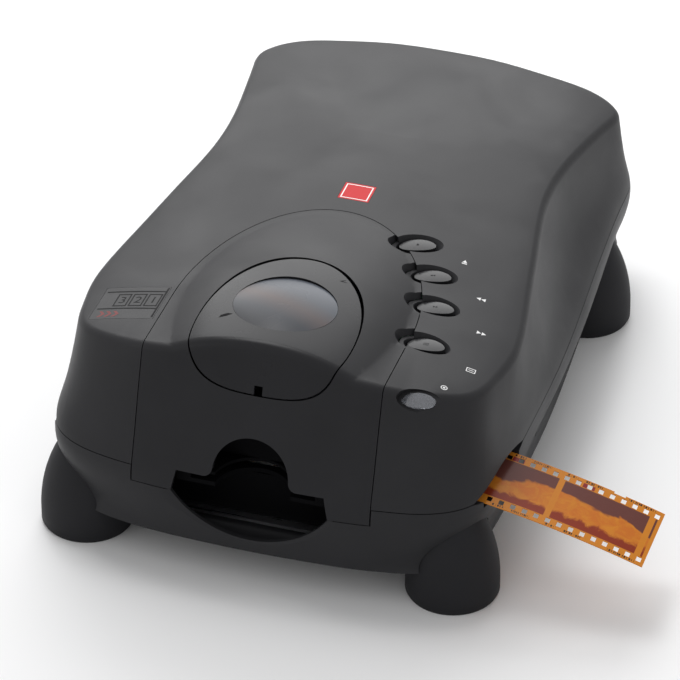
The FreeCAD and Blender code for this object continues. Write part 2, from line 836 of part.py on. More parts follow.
def rear_cutouts():
    """Windows for the port, the power inlet and the power switch."""
    gap = s.fitting_gap
    cuts = []
    for _, x, width, height in FITTINGS:
        low = fitting_low()
        cuts.append(block(x - width / 2 - gap, x + width / 2 + gap, s.fitting_front_y, FAR,
                          low - gap, low + height + gap))
    half_w = s.rocker_width / 2 + s.rocker_bezel
    half_h = s.rocker_height / 2 + s.rocker_bezel
    middle = s.rocker_centre_height
    cuts.append(block(s.rocker_x - half_w - gap, s.rocker_x + half_w + gap, s.fitting_front_y, FAR,
                      middle - half_h - gap, middle + half_h + gap))
    return cuts


def vents():
    """Narrow leaning slits in both sides of the lower casing."""
    slits = []
    for y in (s.vent_front_y, s.vent_rear_y):
        slit = block(-s.casing_width, s.casing_width, y - s.vent_width / 2, y + s.vent_width / 2,
                     s.vent_centre_height - s.vent_height / 2, s.vent_centre_height + s.vent_height / 2)
        slit.rotate(Vector(0, y, s.vent_centre_height), Vector(1, 0, 0), -s.vent_lean)
        slits.append(slit)
    return slits


def lower_casing():
    """Tub below the seam, with foot pockets, columns, an inner lip and the rear windows."""
    seam, floor = s.seam_height, FLOOR_TOP
    core = flanks(s.wall).common(block(-FAR, FAR, -FAR, FAR, floor, seam))
    tub = flanks(0).common(block(-FAR, FAR, -FAR, FAR, 0, seam)).cut(core)
    extras = []
    for _, x, y in foot_places():
        pocket = foot_profile(s.foot_gap + s.foot_pocket_wall, s.foot_gap + s.foot_pocket_wall)
        pocket.translate(Vector(x, y, 0))
        extras.append(pocket.common(core))
    for x, y in column_places():
        extras.append(post(s.column_radius, x, y, floor, seam - s.seam_gap).common(core))
    for x, y in chassis_posts():
        extras.append(post(s.chassis_boss_radius, x, y, floor, s.chassis_height))
    inset = s.wall + s.lip_gap
    ring = flanks(inset - 2 * s.lip_gap).cut(flanks(inset + s.lip_thickness))
    ring = ring.common(block(-FAR, FAR, -FAR, FAR, seam - 2 * s.lip_height, seam))
    proud = flanks(inset).cut(flanks(inset + s.lip_thickness))
    proud = proud.common(block(-FAR, FAR, -FAR, FAR, seam - s.lip_height, seam + s.lip_height))
    nose_clear = s.fascia_half_width + s.wall + s.seam_gap
    lip = fused([ring, proud]).cut(block(-nose_clear, nose_clear, -FAR, 0, 0, TALL))
    tub = fused([tub] + extras + [lip])
    cuts = [BAY, bay_facet(), SLOTS]
    half = s.fascia_half_width + s.seam_gap
    front = s.fascia_arch_start_y
    cuts.append(block(-half, half, -FAR, front, s.fascia_foot_height - s.seam_gap, TALL))
    for _, x, y in foot_places():
        hole = foot_profile(s.foot_gap, s.foot_gap)
        hole.translate(Vector(x, y, 0))
        cuts.append(hole)
        cuts.append(post(s.screw_radius + s.screw_gap, x, y, 0, TALL))
    for x, y in column_places():
        cuts.append(post(s.screw_head_radius + s.foot_gap, x, y, 0, casing_screw_seat()))
        cuts.append(post(s.screw_radius + s.screw_gap, x, y, 0, TALL))
    return shaped("lower_casing", largest(tub.cut(cuts + rear_cutouts() + vents())))


def upper_casing():
    """Top shell above the seam, with key cups, inlay pockets and screw columns."""
    seam = s.seam_height + s.seam_gap
    top = SHELL.common(block(-FAR, FAR, -FAR, FAR, seam, TALL))
    top = largest(top.cut(keyhole(s.seam_gap / 2)))
    parts = [cup(key) for key in KEYS]
    for x, y in column_places():
        parts.append(post(s.column_radius, x, y, seam, TALL).common(INNER))
    board_top = s.key_board_height + s.board_thickness
    for x, y in key_board_posts():
        parts.append(post(s.spacer_radius, x, y, board_top, TALL).common(INNER))
    lens = lens_form(s.lens_recess_half_length + s.recess_wall, s.lens_recess_half_width + s.recess_wall,
                     -s.lens_recess_depth - s.recess_wall, 0)
    parts.append(lens.common(INNER).cut(keyhole(s.seam_gap / 2)))
    top = fused([top] + parts)
    cuts = [SLOTS] + [recess(key, 0, s.overrun) for key in KEYS]
    cuts.append(lens_form(s.lens_recess_half_length, s.lens_recess_half_width, -s.lens_recess_depth, s.overrun))
    cuts.append(lens_form(s.lens_half_length + s.lens_gap, s.lens_half_width + s.lens_gap, -s.overrun, 0))
    for x, y in column_places():
        tip = casing_screw_seat() + s.casing_screw_length
        cuts.append(post(s.screw_radius + s.screw_gap, x, y, 0, tip + s.wall))
    for x, y in key_board_posts():
        cuts.append(post(s.screw_radius + s.screw_gap, x, y, 0, s.key_board_height + s.board_screw_length))
    cuts.append(inlay(s.badge_width, s.badge_length, 0, s.badge_centre_y, s.badge_thickness, s.inlay_gap, s.overrun))
    cuts.append(inlay(s.label_width, s.label_length, s.label_centre_x, s.label_centre_y,
                      s.label_thickness, s.inlay_gap, s.overrun))
    return shaped("upper_casing", largest(top.cut(cuts)))


def inlay(width, length, x, y, depth, gap, rise):
    """Plate that follows the roof: from depth + gap below the roof up to rise above it."""
    column = block(x - width / 2 - gap, x + width / 2 + gap, y - length / 2 - gap, y + length / 2 + gap,
                   s.seam_height, TALL)
    body = column.common(roof(-rise))
    return body.cut(roof(depth + gap))


def badge_plate():
    """Square badge sunk flush into the roof."""
    return shaped("badge_plate", largest(inlay(s.badge_width, s.badge_length, 0, s.badge_centre_y,
                                               s.badge_thickness, 0, 0)))


def film_label():
    """Film direction label sunk flush into the roof beside the fascia."""
    return shaped("film_label", largest(inlay(s.label_width, s.label_length, s.label_centre_x,
                                              s.label_centre_y, s.label_thickness, 0, 0)))


def front_fascia():
    """Keyhole panel with the well under the cover, key notches and the bay's upper half."""
    front = s.fascia_arch_start_y
    panel = SHELL.common(keyhole(-s.seam_gap / 2))
    panel = panel.cut(block(-FAR, FAR, -FAR, FAR, 0, s.fascia_foot_height))
    reach = s.fascia_half_width - s.seam_gap / 2
    low_wall = block(-FAR, FAR, front, FAR, 0, s.seam_height + s.seam_gap)
    panel = largest(panel.cut(low_wall))
    deep, high = -s.cover_rear_reach - s.well_depth, s.casing_length
    above = block(-FAR, FAR, -FAR, FAR, s.seam_height, TALL)
    swing = s.cover_swing_gap
    rim = cover_prism(s.cover_gap + s.well_wall, s.cover_rear_gap + s.well_wall, deep, high, swing)
    hole = cover_prism(s.cover_gap, s.cover_rear_gap, deep, high, swing)
    pan = inner_body(s.wall / 2).common(rim).common(above).cut(inner_body(s.well_depth + s.well_wall))
    pan = largest(pan.cut(hole.cut(inner_body(s.well_depth))))
    panel = fused([panel.cut(hole), pan])
    ears = []
    for x0, x1 in ear_spans():
        ears.append(knuckle(x0, x1, True))
    panel = fused([panel] + ears)
    cuts = [BAY] + [recess(key, s.recess_wall + s.seam_gap, s.overrun) for key in KEYS]
    cuts.append(pin_rod(s.shaft_gap, s.overrun).common(block(-reach, reach, -FAR, FAR, 0, TALL)))
    return shaped("front_fascia", largest(panel.cut(cuts)))


def pin_centre():
    """Middle of the cover's hinge pin, below the cover's rear edge."""
    turn = math.radians(s.cover_tilt)
    rise = surface_height(0, s.window_centre_y) - s.cover_centre_height
    edge_y = s.cover_centre_y + s.cover_rear_reach / math.cos(turn) - rise * math.tan(turn)
    y = edge_y - s.hinge_inset
    return y, surface_height(0, y) - s.hinge_drop


def pin_rod(grow, extra):
    y, z = pin_centre()
    half = s.hinge_pin_length / 2 + extra
    return Part.makeCylinder(s.hinge_pin_radius + grow, 2 * half, Vector(-half, y, z), Vector(1, 0, 0))


def ear_spans():
    """Spans along x of the fascia's hinge ears, at the ends of the pin."""
    half = s.hinge_pin_length / 2
    return [(-half, -half + s.knuckle_length), (half - s.knuckle_length, half)]


def knuckle(x0, x1, on_floor):
    """Round hinge knuckle with a web down to the well's floor or up to the cover."""
    y, z = pin_centre()
    radius = s.knuckle_radius
    round_part = Part.makeCylinder(radius, x1 - x0, Vector(x0, y, z), Vector(1, 0, 0))
    if on_floor:
        web = block(x0, x1, y - radius, y + radius, z - s.well_depth, z)
        return round_part.fuse(web).common(inner_body(s.wall / 2)).cut(inner_body(s.well_depth + s.well_wall))
    web = block(x0, x1, y - radius, y + radius, z, z + s.hinge_drop)
    return round_part.fuse(web)


def window_prism(grow):
    ring = oval(s.window_half_width + grow, s.window_half_length + grow, 0, 0, s.window_centre_y, s.seam_height)
    return Part.Face(ring).extrude(Vector(0, 0, TALL))


def round_cover():
    """Hinged cover that follows the nose, with a window hole, marks, a notch and knuckles."""
    prism = cover_prism(0, 0, -s.cover_rear_reach, s.casing_length)
    under = inner_body(s.cover_thickness)
    above = block(-FAR, FAR, -FAR, FAR, s.seam_height, TALL)
    skin = largest(OUTER.common(prism).common(above).cut(under))
    skin = skin.cut(window_prism(s.window_gap))
    gap = s.knuckle_gap
    left, right = ear_spans()
    knuckles = [knuckle(left[1] + gap, left[1] + gap + s.knuckle_length, False),
                knuckle(right[0] - gap - s.knuckle_length, right[0] - gap, False)]
    knuckles = [part.common(inner_body(s.cover_thickness / 2)) for part in knuckles]
    skin = fused([skin] + knuckles)
    lip = tilted(Part.makeLine(Vector(0, -s.cover_front_reach, -s.cover_rear_reach),
                               Vector(0, -s.cover_front_reach, s.casing_length)))
    lip_z = max(v.Z for v in lip.common(OUTER).Vertexes)
    notch = block(-s.notch_width / 2, s.notch_width / 2, -FAR, s.cover_centre_y - s.cover_corner_reach,
                  lip_z - s.notch_height, lip_z + s.notch_height)
    cuts = [pin_rod(s.shaft_gap, s.overrun), notch]
    return shaped("round_cover", largest(skin.cut(cuts)))


def cover_window():
    """Domed oval window that stands slightly proud of the cover."""
    prism = window_prism(0)
    top = surface_height(0, s.window_centre_y) + s.window_rise
    ball = Part.makeSphere(s.window_radius, Vector(0, s.window_centre_y, top - s.window_radius))
    lens = ball.common(prism).cut(inner_body(s.cover_thickness))
    return shaped("cover_window", largest(lens))


def lens_form(half_length, half_width, low, high):
    """Oval post on the status lens's own axis, which leans forward over the ridge."""
    body = Part.Face(oval(half_length, half_width, 0, 0, 0, low)).extrude(Vector(0, 0, high - low))
    turn = FreeCAD.Rotation(Vector(1, 0, 0), s.lens_tilt)
    lean = FreeCAD.Rotation(Vector(0, 0, 1), s.recess_half_length)
    body.Placement = FreeCAD.Placement(Vector(s.lens_x, s.lens_y, s.lens_height), lean.multiply(turn))
    return body


def status_lens():
    """Clear oval lens in its recess on the ridge, with a stem through the casing."""
    body = lens_form(s.lens_half_length, s.lens_half_width, -s.lens_recess_depth - s.lens_stem, 0)
    ball_radius = (s.lens_half_length ** 2 + s.lens_rise ** 2) / (2 * s.lens_rise)
    axis = body.Placement.Rotation.multVec(Vector(0, 0, 1))
    crown = Vector(s.lens_x, s.lens_y, s.lens_height) + axis * (-s.lens_recess_depth / 2 + s.lens_rise / 2)
    ball = Part.makeSphere(ball_radius, crown - axis * ball_radius)
    return shaped("status_lens", largest(body.common(ball)))


@functools.lru_cache(None)
def key_cap():
    """Oval cap with a crowned top at height zero and a flange that stays below the casing."""
    foot_low = s.key_sink - s.recess_depth - s.recess_wall - s.key_gap
    cap = oval_post(s.key_half_length, s.key_half_width, 0, 0, 0, foot_low, 0)
    ball_radius = (s.key_half_length ** 2 + s.key_crown ** 2) / (2 * s.key_crown)
    cap = cap.common(Part.makeSphere(ball_radius, Vector(0, 0, -ball_radius)))
    flange = oval_post(s.key_half_length + s.key_flange, s.key_half_width + s.key_flange, 0, 0, 0,
                       foot_low - s.key_flange_thickness, foot_low)
    return fused([cap, flange])


def key(name):
    """Key of the row beside the cover: the common cap with a stem down to its own switch."""
    x, y, low, turn = recess_bottom(name)
    top = low + s.recess_depth - s.key_sink
    flange_low = low - s.recess_wall - s.key_gap - s.key_flange_thickness
    stem = post(s.key_stem_radius, 0, 0, switch_top() + s.key_free_gap - top, flange_low - top)
    body = largest(key_cap().fuse(stem))
    body.rotate(Vector(0, 0, 0), Vector(0, 0, 1), turn)
    body.translate(Vector(x, y, top))
    return shaped(name + "_key", body)


def switch_top():
    return s.key_board_height + s.board_thickness + s.switch_body + s.switch_plunger


def key_board():
    """Board under the keys: a long strip with a tongue to the eject key."""
    margin = s.switch_side
    x0, x1 = s.eject_x - s.recess_lean - margin, s.scan_x + margin
    y0, y1 = s.scan_y - margin, s.eject_y + margin
    inner = s.cover_half_width + s.cover_gap + s.well_wall + s.wall
    low, high = s.key_board_height, s.key_board_height + s.board_thickness
    body = block(inner, x1, y0, y1, low, high).fuse(block(x0, x1, s.eject_y - margin, y1, low, high))
    body = body.removeSplitter()
    holes = [post(s.screw_radius + s.screw_gap, x, y, 0, TALL) for x, y in key_board_posts()]
    return shaped("key_board", largest(body.cut(holes)))


def key_board_posts():
    """Places of the two pillars that hold the key board under the roof."""
    x = s.scan_x + s.switch_side - s.spacer_radius
    return [(x, s.scan_y + s.recess_half_length), (x, s.eject_y - s.spacer_radius)]


def key_switches():
    """Four push switches on the key board, each a body with a plunger."""
    solids = []
    half = s.switch_side / 2
    low = s.key_board_height + s.board_thickness
    for name in KEYS:
        x, y, _, _ = recess_bottom(name)
        body = block(x - half, x + half, y - half, y + half, low, low + s.switch_body)
        plunger = post(s.switch_plunger_radius, x, y, low + s.switch_body, low + s.switch_body + s.switch_plunger)
        solids.append(body.fuse(plunger))
    return shaped("key_switches", Part.makeCompound(solids))


def feet():
    """Four rubber feet, each with a screw recess in its underside."""
    seat = s.foot_screw_head_height
    body = largest(foot_profile(0, 0).cut([post(s.foot_screw_recess_radius, 0, 0, -s.overrun, seat),
                                           post(s.screw_radius + s.screw_gap, 0, 0, 0, TALL)]))
    shaped("feet", Part.makeCompound([body.translated(Vector(x, y, 0)) for _, x, y in foot_places()]))


def screw(x, y, seat, length, upwards=True):
    """Pan-head screw whose head bears on the seat and whose shank runs into the work."""
    rise = 1 if upwards else -1
    head = Part.makeCylinder(s.screw_head_radius, s.screw_head, Vector(x, y, seat), Vector(0, 0, -rise))
    shank = Part.makeCylinder(s.screw_radius, length, Vector(x, y, seat), Vector(0, 0, rise))
    return head.fuse(shank).removeSplitter()


def screws():
    """Foot, casing and board screws, each set as one node of separate solids."""
    feet = [screw(x, y, s.foot_screw_head_height, s.foot_screw_length) for _, x, y in foot_places()]
    shaped("foot_screws", Part.makeCompound(feet))
    casing = [screw(x, y, casing_screw_seat(), s.casing_screw_length) for x, y in column_places()]
    shaped("casing_screws", Part.makeCompound(casing))
    board = [screw(x, y, s.main_board_height + s.board_thickness, s.board_screw_length, False)
             for x, y in board_posts()]
    board += [screw(x, y, s.key_board_height, s.board_screw_length) for x, y in key_board_posts()]
    shaped("board_screws", Part.makeCompound(board))


# Film path: every piece follows one arc about an axis far below the gate

def arc_height(radius, x):
    """Height of an arc of the film path's centre at a place across the casing."""
    return s.gate_height - s.film_arc_radius + math.sqrt(radius ** 2 - x ** 2)


def arc_slab(r0, r1, a0, a1, y0, y1):
    """Curved slab between two radii and two angles of the film path, in radians from upright."""
    low = s.gate_height - s.film_arc_radius

    def at(radius, angle):
        return Vector(radius * math.sin(angle), y0, low + radius * math.cos(angle))

    middle = (a0 + a1) / 2
    edges = [Part.Arc(at(r0, a0), at(r0, middle), at(r0, a1)).toShape(), Part.makeLine(at(r0, a1), at(r1, a1)),
             Part.Arc(at(r1, a1), at(r1, middle), at(r1, a0)).toShape(), Part.makeLine(at(r1, a0), at(r0, a0))]
    return Part.Face(Part.Wire(edges)).extrude(Vector(0, y1 - y0, 0))


def film_strip():
    """Curved strip of 35 mm film with its two rows of perforations and an edge notch."""
    radius, half = s.film_arc_radius, s.film_width / 2
    low, high = radius - s.film_thickness / 2, radius + s.film_thickness / 2
    tip = math.asin(s.film_tip_x / radius)
    tail = tip - s.film_length / radius
    y = s.film_centre_y
    strip = arc_slab(low, high, tail, tip, y - half, y + half)
    step = s.film_pitch / radius
    wide = s.film_hole_length / radius / 2
    count = int(round(s.film_length / s.film_pitch))
    thick = s.film_slack / 2
    holes = []
    for i in range(count):
        middle = tail + (i + 1 / 2) * (tip - tail) / count
        for side in (-1, 1):
            centre = y + side * (half - s.film_hole_edge - s.film_hole_width / 2)
            holes.append(arc_slab(low - thick, high + thick, middle - wide, middle + wide,
                                  centre - s.film_hole_width / 2, centre + s.film_hole_width / 2))
    notch_at = tip - 4 * step
    notch = s.film_notch / radius
    holes.append(arc_slab(low - thick, high + thick, notch_at - notch, notch_at + notch,
                          y + half - s.film_hole_edge / 2, y + half + s.overrun))
    return shaped("film_strip", largest(strip.cut(holes)))


def roller_place():
    """Distance of each drive roller from the middle, set by the gear train."""
    return s.gear_module * (s.pinion_teeth + s.idler_teeth)


def roller_windows(radius):
    """Windows in a film guide for the gate and for the four roller tyres."""
    y = s.film_centre_y
    low, high = s.seam_height - s.overrun, TALL
    cuts = [block(-s.gate_half_width, s.gate_half_width, y - s.gate_half_length, y + s.gate_half_length, low, high)]
    reach, wide = radius + s.guide_rail_gap, s.roller_width / 2 + s.guide_rail_gap
    for side in (-1, 1):
        for row in (-1, 1):
            x, centre = side * roller_place(), y + row * s.roller_offset
            cuts.append(block(x - reach, x + reach, centre - wide, centre + wide, low, high))
    return cuts


def film_guides():
    """Lower guide with its edge rails, and the upper guide that closes the film's channel."""
    radius, half = s.film_arc_radius, guide_half_width()
    angle = math.asin(s.guide_half_length / radius)
    y, gap = s.film_centre_y, s.film_thickness / 2 + s.film_slack
    track = radius - gap
    base = arc_slab(track - s.guide_thickness, track, -angle, angle, y - half, y + half)
    rails = [arc_slab(track - s.guide_thickness, radius + gap, -angle, angle, *span)
             for span in ((y - half, y - half + s.guide_rail), (y + half - s.guide_rail, y + half))]
    lower = fused([base] + rails).removeSplitter().cut(roller_windows(s.roller_radius))
    shaped("lower_film_guide", largest(lower))
    roof_low = radius + gap + s.shaft_gap
    upper = arc_slab(roof_low, roof_low + s.guide_thickness, -angle, angle, y - half, y + half)
    reach = s.pinch_radius + s.guide_rail_gap + s.shaft_radius
    shaped("upper_film_guide", largest(upper.cut(roller_windows(reach))))


def slide_tray():
    """Channel for a mounted slide behind the front bay, with finger notches and a light window."""
    half, floor, plate = s.tray_half_width, s.tray_floor_height, s.tray_plate
    slot_low = floor + plate
    slot_high = slot_low + s.slide_gap
    top = slot_high + s.tray_roof
    body = block(-half, half, s.tray_front_y, s.tray_back_y, floor, top)
    centre = s.film_centre_y
    slot = block(-s.slide_side / 2, s.slide_side / 2, -FAR, centre + s.slide_side / 2, slot_low, slot_high)
    notch_y = s.tray_front_y + s.tray_notch_depth
    notch = block(-s.tray_notch_half_width, s.tray_notch_half_width, -FAR, notch_y - s.tray_notch_half_width, 0, TALL)
    notch = notch.fuse(post(s.tray_notch_half_width, 0, notch_y - s.tray_notch_half_width, 0, TALL))
    side = s.tray_window_half_side
    window = block(-side, side, centre - side, centre + side, 0, TALL)
    return shaped("slide_tray", largest(body.cut([slot, notch, window])))


def roller_axis():
    """Place of the right drive roller's axis, on the film path's own radius."""
    radius = s.film_arc_radius - s.film_thickness / 2 - s.roller_nip - s.roller_radius
    x = roller_place()
    return x, arc_height(radius, x), math.asin(x / radius)


def pinch_axis():
    """Place of the right pinch roller's axis, straight across the film from the drive roller."""
    angle = roller_axis()[2]
    radius = s.film_arc_radius + s.film_thickness / 2 + s.roller_nip + s.pinch_radius
    x = radius * math.sin(angle)
    return x, arc_height(radius, x)


def chassis_top():
    return s.chassis_height + s.chassis_thickness


def frame_faces():
    """Outer and inner faces of the front and rear roller frames along y."""
    reach = guide_half_width() + s.frame_clear
    front, rear = s.film_centre_y - reach, s.film_centre_y + reach
    return (front - s.frame_thickness, front), (rear, rear + s.frame_thickness)


def lying(radius, x, z, y0, y1):
    """Cylinder along y."""
    return Part.makeCylinder(radius, y1 - y0, Vector(x, y0, z), Vector(0, 1, 0))


def roller_frames():
    """Two upright plates that carry the rollers and let the slide tray through."""
    half, gap = s.frame_half_width, s.frame_window_gap
    top = s.tray_floor_height + s.tray_plate + s.slide_gap + s.tray_roof
    window = block(-s.tray_half_width - gap, s.tray_half_width + gap, -FAR, FAR, s.tray_floor_height - gap, top + gap)
    x, z, _ = roller_axis()
    pinch_x, pinch_z = pinch_axis()
    holes = [window]
    for sign in (-1, 1):
        holes.append(lying(s.shaft_radius + s.shaft_gap, sign * x, z, -FAR, FAR))
        holes.append(lying(s.pinch_shaft_radius + s.shaft_gap, sign * pinch_x, pinch_z, -FAR, FAR))
    for name, (y0, y1) in zip(("front", "rear"), frame_faces()):
        plate = block(-half, half, y0, y1, chassis_top(), s.frame_height)
        shaped("roller_frame_" + name, largest(plate.cut(holes)))


def tyre_rows():
    """Spans along y of the two tyres of each roller."""
    wide = s.roller_width / 2
    return [(s.film_centre_y + row * s.roller_offset - wide, s.film_centre_y + row * s.roller_offset + wide)
            for row in (-1, 1)]


def rollers():
    """Drive rollers with rubber tyres below the film, pinch rollers above it."""
    x, z, _ = roller_axis()
    pinch_x, pinch_z = pinch_axis()
    (front, _), (_, rear) = frame_faces()
    hub = s.roller_radius - s.tyre_thickness
    gear_rear = s.gear_front_y + s.gear_width
    for name, sign in SIDES:
        spindle = [lying(s.shaft_radius, sign * x, z, front - s.frame_thickness, gear_rear)]
        spindle += [lying(hub, sign * x, z, y0, y1) for y0, y1 in tyre_rows()]
        shaped("drive_roller_" + name, fused(spindle))
        tyres = [lying(s.roller_radius, sign * x, z, y0, y1).cut(lying(hub, sign * x, z, y0, y1))
                 for y0, y1 in tyre_rows()]
        shaped("drive_tyres_" + name, Part.makeCompound(tyres))
        pinch = [lying(s.pinch_shaft_radius, sign * pinch_x, pinch_z, front - s.frame_clear, rear + s.frame_clear)]
        pinch += [lying(s.pinch_radius, sign * pinch_x, pinch_z, y0, y1) for y0, y1 in tyre_rows()]
        shaped("pinch_roller_" + name, fused(pinch))


# Gear train from the motor to both drive rollers

def involute(angle):
    return math.tan(angle) - angle


PRESSURE_ANGLE = math.radians(20)
ADDENDUM_SHARE = 0.95
DEDENDUM_SHARE = 1.25
FLANK_SHARES = (0, 0.35, 0.7, 1)


def gear(teeth, bore, x, z, phase_share):
    """Spur gear in the xz plane; phase_share turns it by that share of a tooth."""
    module = s.gear_module
    pitch_radius = module * teeth / 2
    base_radius = pitch_radius * math.cos(PRESSURE_ANGLE)
    root = pitch_radius - DEDENDUM_SHARE * module
    tip = pitch_radius + ADDENDUM_SHARE * module
    start = max(root, base_radius)
    half_at_pitch = (math.pi * module - s.gear_backlash) / (4 * pitch_radius)
    points = []
    for tooth in range(int(teeth)):
        middle = (tooth + phase_share) * 2 * math.pi / teeth
        flank = []
        for share in FLANK_SHARES:
            radius = start + (tip - start) * share
            half = half_at_pitch + involute(PRESSURE_ANGLE) - involute(math.acos(base_radius / radius))
            flank.append((radius, half))
        flank = [(root, flank[0][1])] + flank
        points += [(radius, middle - half) for radius, half in flank]
        points += [(radius, middle + half) for radius, half in reversed(flank)]
    y = s.gear_front_y
    ring = [Vector(x + r * math.cos(a), y, z + r * math.sin(a)) for r, a in points]
    solid = Part.Face(Part.makePolygon(ring + ring[:1])).extrude(Vector(0, s.gear_width, 0))
    return solid.cut(lying(bore, x, z, y - s.overrun, y + s.gear_width + s.overrun))


def gears():
    """Motor pinion, an idler to each side and a gear on each drive roller."""
    x, z, _ = roller_axis()
    bore = s.shaft_radius
    idler_x = s.gear_module * (s.pinion_teeth + s.idler_teeth) / 2
    bracket_front = s.gear_front_y + s.gear_width + s.bracket_gap
    shaft_end = bracket_front + s.bracket_thickness + s.motor_length / 2 - s.frame_clear
    shaft = lying(s.motor_shaft_radius, 0, z, s.gear_front_y - s.shaft_gap, shaft_end)
    shaped("motor_pinion", largest(gear(s.pinion_teeth, s.motor_shaft_radius, 0, z, 0).fuse(shaft)))
    idler_bore = s.idler_stud_radius + s.gear_bore_gap
    shaped("idler_gear_left", gear(s.idler_teeth, idler_bore, -idler_x, z, 0))
    shaped("idler_gear_right", gear(s.idler_teeth, idler_bore, idler_x, z, 1 / 2))
    for name, sign in SIDES:
        shaped("drive_gear_" + name, gear(s.pinion_teeth, bore, sign * x, z, 1 / 2))
    studs = []
    for _, sign in SIDES:
        pin = lying(s.idler_stud_radius, sign * idler_x, z, s.gear_front_y - s.shaft_gap,
                    bracket_front + s.bracket_thickness)
        head = lying(s.idler_stud_radius + s.stud_head, sign * idler_x, z,
                     s.gear_front_y - s.shaft_gap - s.stud_head, s.gear_front_y - s.shaft_gap)
        collar = lying(s.idler_stud_radius + s.stud_head, sign * idler_x, z,
                       s.gear_front_y + s.gear_width + s.shaft_gap, bracket_front)
        studs.append(fused([pin, head, collar]))
    shaped("idler_studs", Part.makeCompound(studs))


def motor():
    """Stepper motor on its bracket behind the gears, and its shaft."""
    z = roller_axis()[1]
    front = s.gear_front_y + s.gear_width + s.bracket_gap
    face = front + s.bracket_thickness
    half, side = s.bracket_half_width, s.motor_side / 2
    idler_x = s.gear_module * (s.pinion_teeth + s.idler_teeth) / 2
    plate = block(-half, half, front, face, chassis_top(), s.frame_height)
    foot_plate = block(-half, half, face, face + s.bracket_foot, chassis_top(), chassis_top() + s.bracket_thickness)
    holes = [lying(s.motor_boss_radius + s.shaft_gap, 0, z, -FAR, FAR)]
    holes += [lying(s.idler_stud_radius, sign * idler_x, z, -FAR, FAR) for sign in (-1, 1)]
    shaped("motor_bracket", largest(fused([plate, foot_plate]).cut(holes)))
    body = block(-side, side, face, face + s.motor_length, z - side, z + side)
    long_edges = [e for e in body.Edges if abs(e.Length - s.motor_length) < s.shaft_gap]
    body = body.makeChamfer(s.motor_corner, long_edges)
    boss = lying(s.motor_boss_radius, 0, z, face - s.motor_boss, face)
    well = lying(s.motor_shaft_radius + s.shaft_gap, 0, z, face - s.overrun, face + s.motor_length / 2)
    shaped("stepper_motor", largest(body.fuse(boss).cut(well)))


def chassis():
    """Plate that carries the works, standing on bosses of the lower casing."""
    plate = box("2 * {chassis_half_width}", "{chassis_rear_y} - {chassis_front_y}", "{chassis_thickness}",
                y="({chassis_rear_y} + {chassis_front_y}) / 2", z="{chassis_height}")
    node("chassis_plate", plate)


def light_source():
    """Open light box below the gate, its board with lamps, and the diffuser."""
    y = "{film_centre_y}"
    low = "{chassis_height} + {chassis_thickness}"
    height = "{lamp_top_height} - {chassis_height} - {chassis_thickness}"
    shell = box("2 * {lamp_half_width}", "2 * {lamp_half_length}", height, y=y, z=low)
    hollow = box("2 * {lamp_half_width} - 2 * {lamp_wall}", "2 * {lamp_half_length} - 2 * {lamp_wall}",
                 height, y=y, z=low + " + {lamp_wall}")
    node("light_box", without(shell, [hollow]))
    width = "2 * {lamp_half_width} - 2 * {lamp_wall} - 2 * {fitting_gap}"
    length = "2 * {lamp_half_length} - 2 * {lamp_wall} - 2 * {fitting_gap}"
    board = box(width, length, "{lamp_board}", y=y, z=low + " + {lamp_wall}")
    node("light_board", board)
    lamps = []
    for column in (-2, -1, 0, 1, 2):
        for row in (-1, 0, 1):
            lamps.append(box("{led_side}", "{led_side}", "{led_height}", x="%d * {led_pitch}" % column,
                             y=y + " + %d * {led_pitch}" % row, z=low + " + {lamp_wall} + {lamp_board}"))
    node("light_lamps", group(lamps))
    node("light_diffuser", box(width, length, "{diffuser_thickness}", y=y,
                               z="{lamp_top_height} - {diffuser_thickness}"))


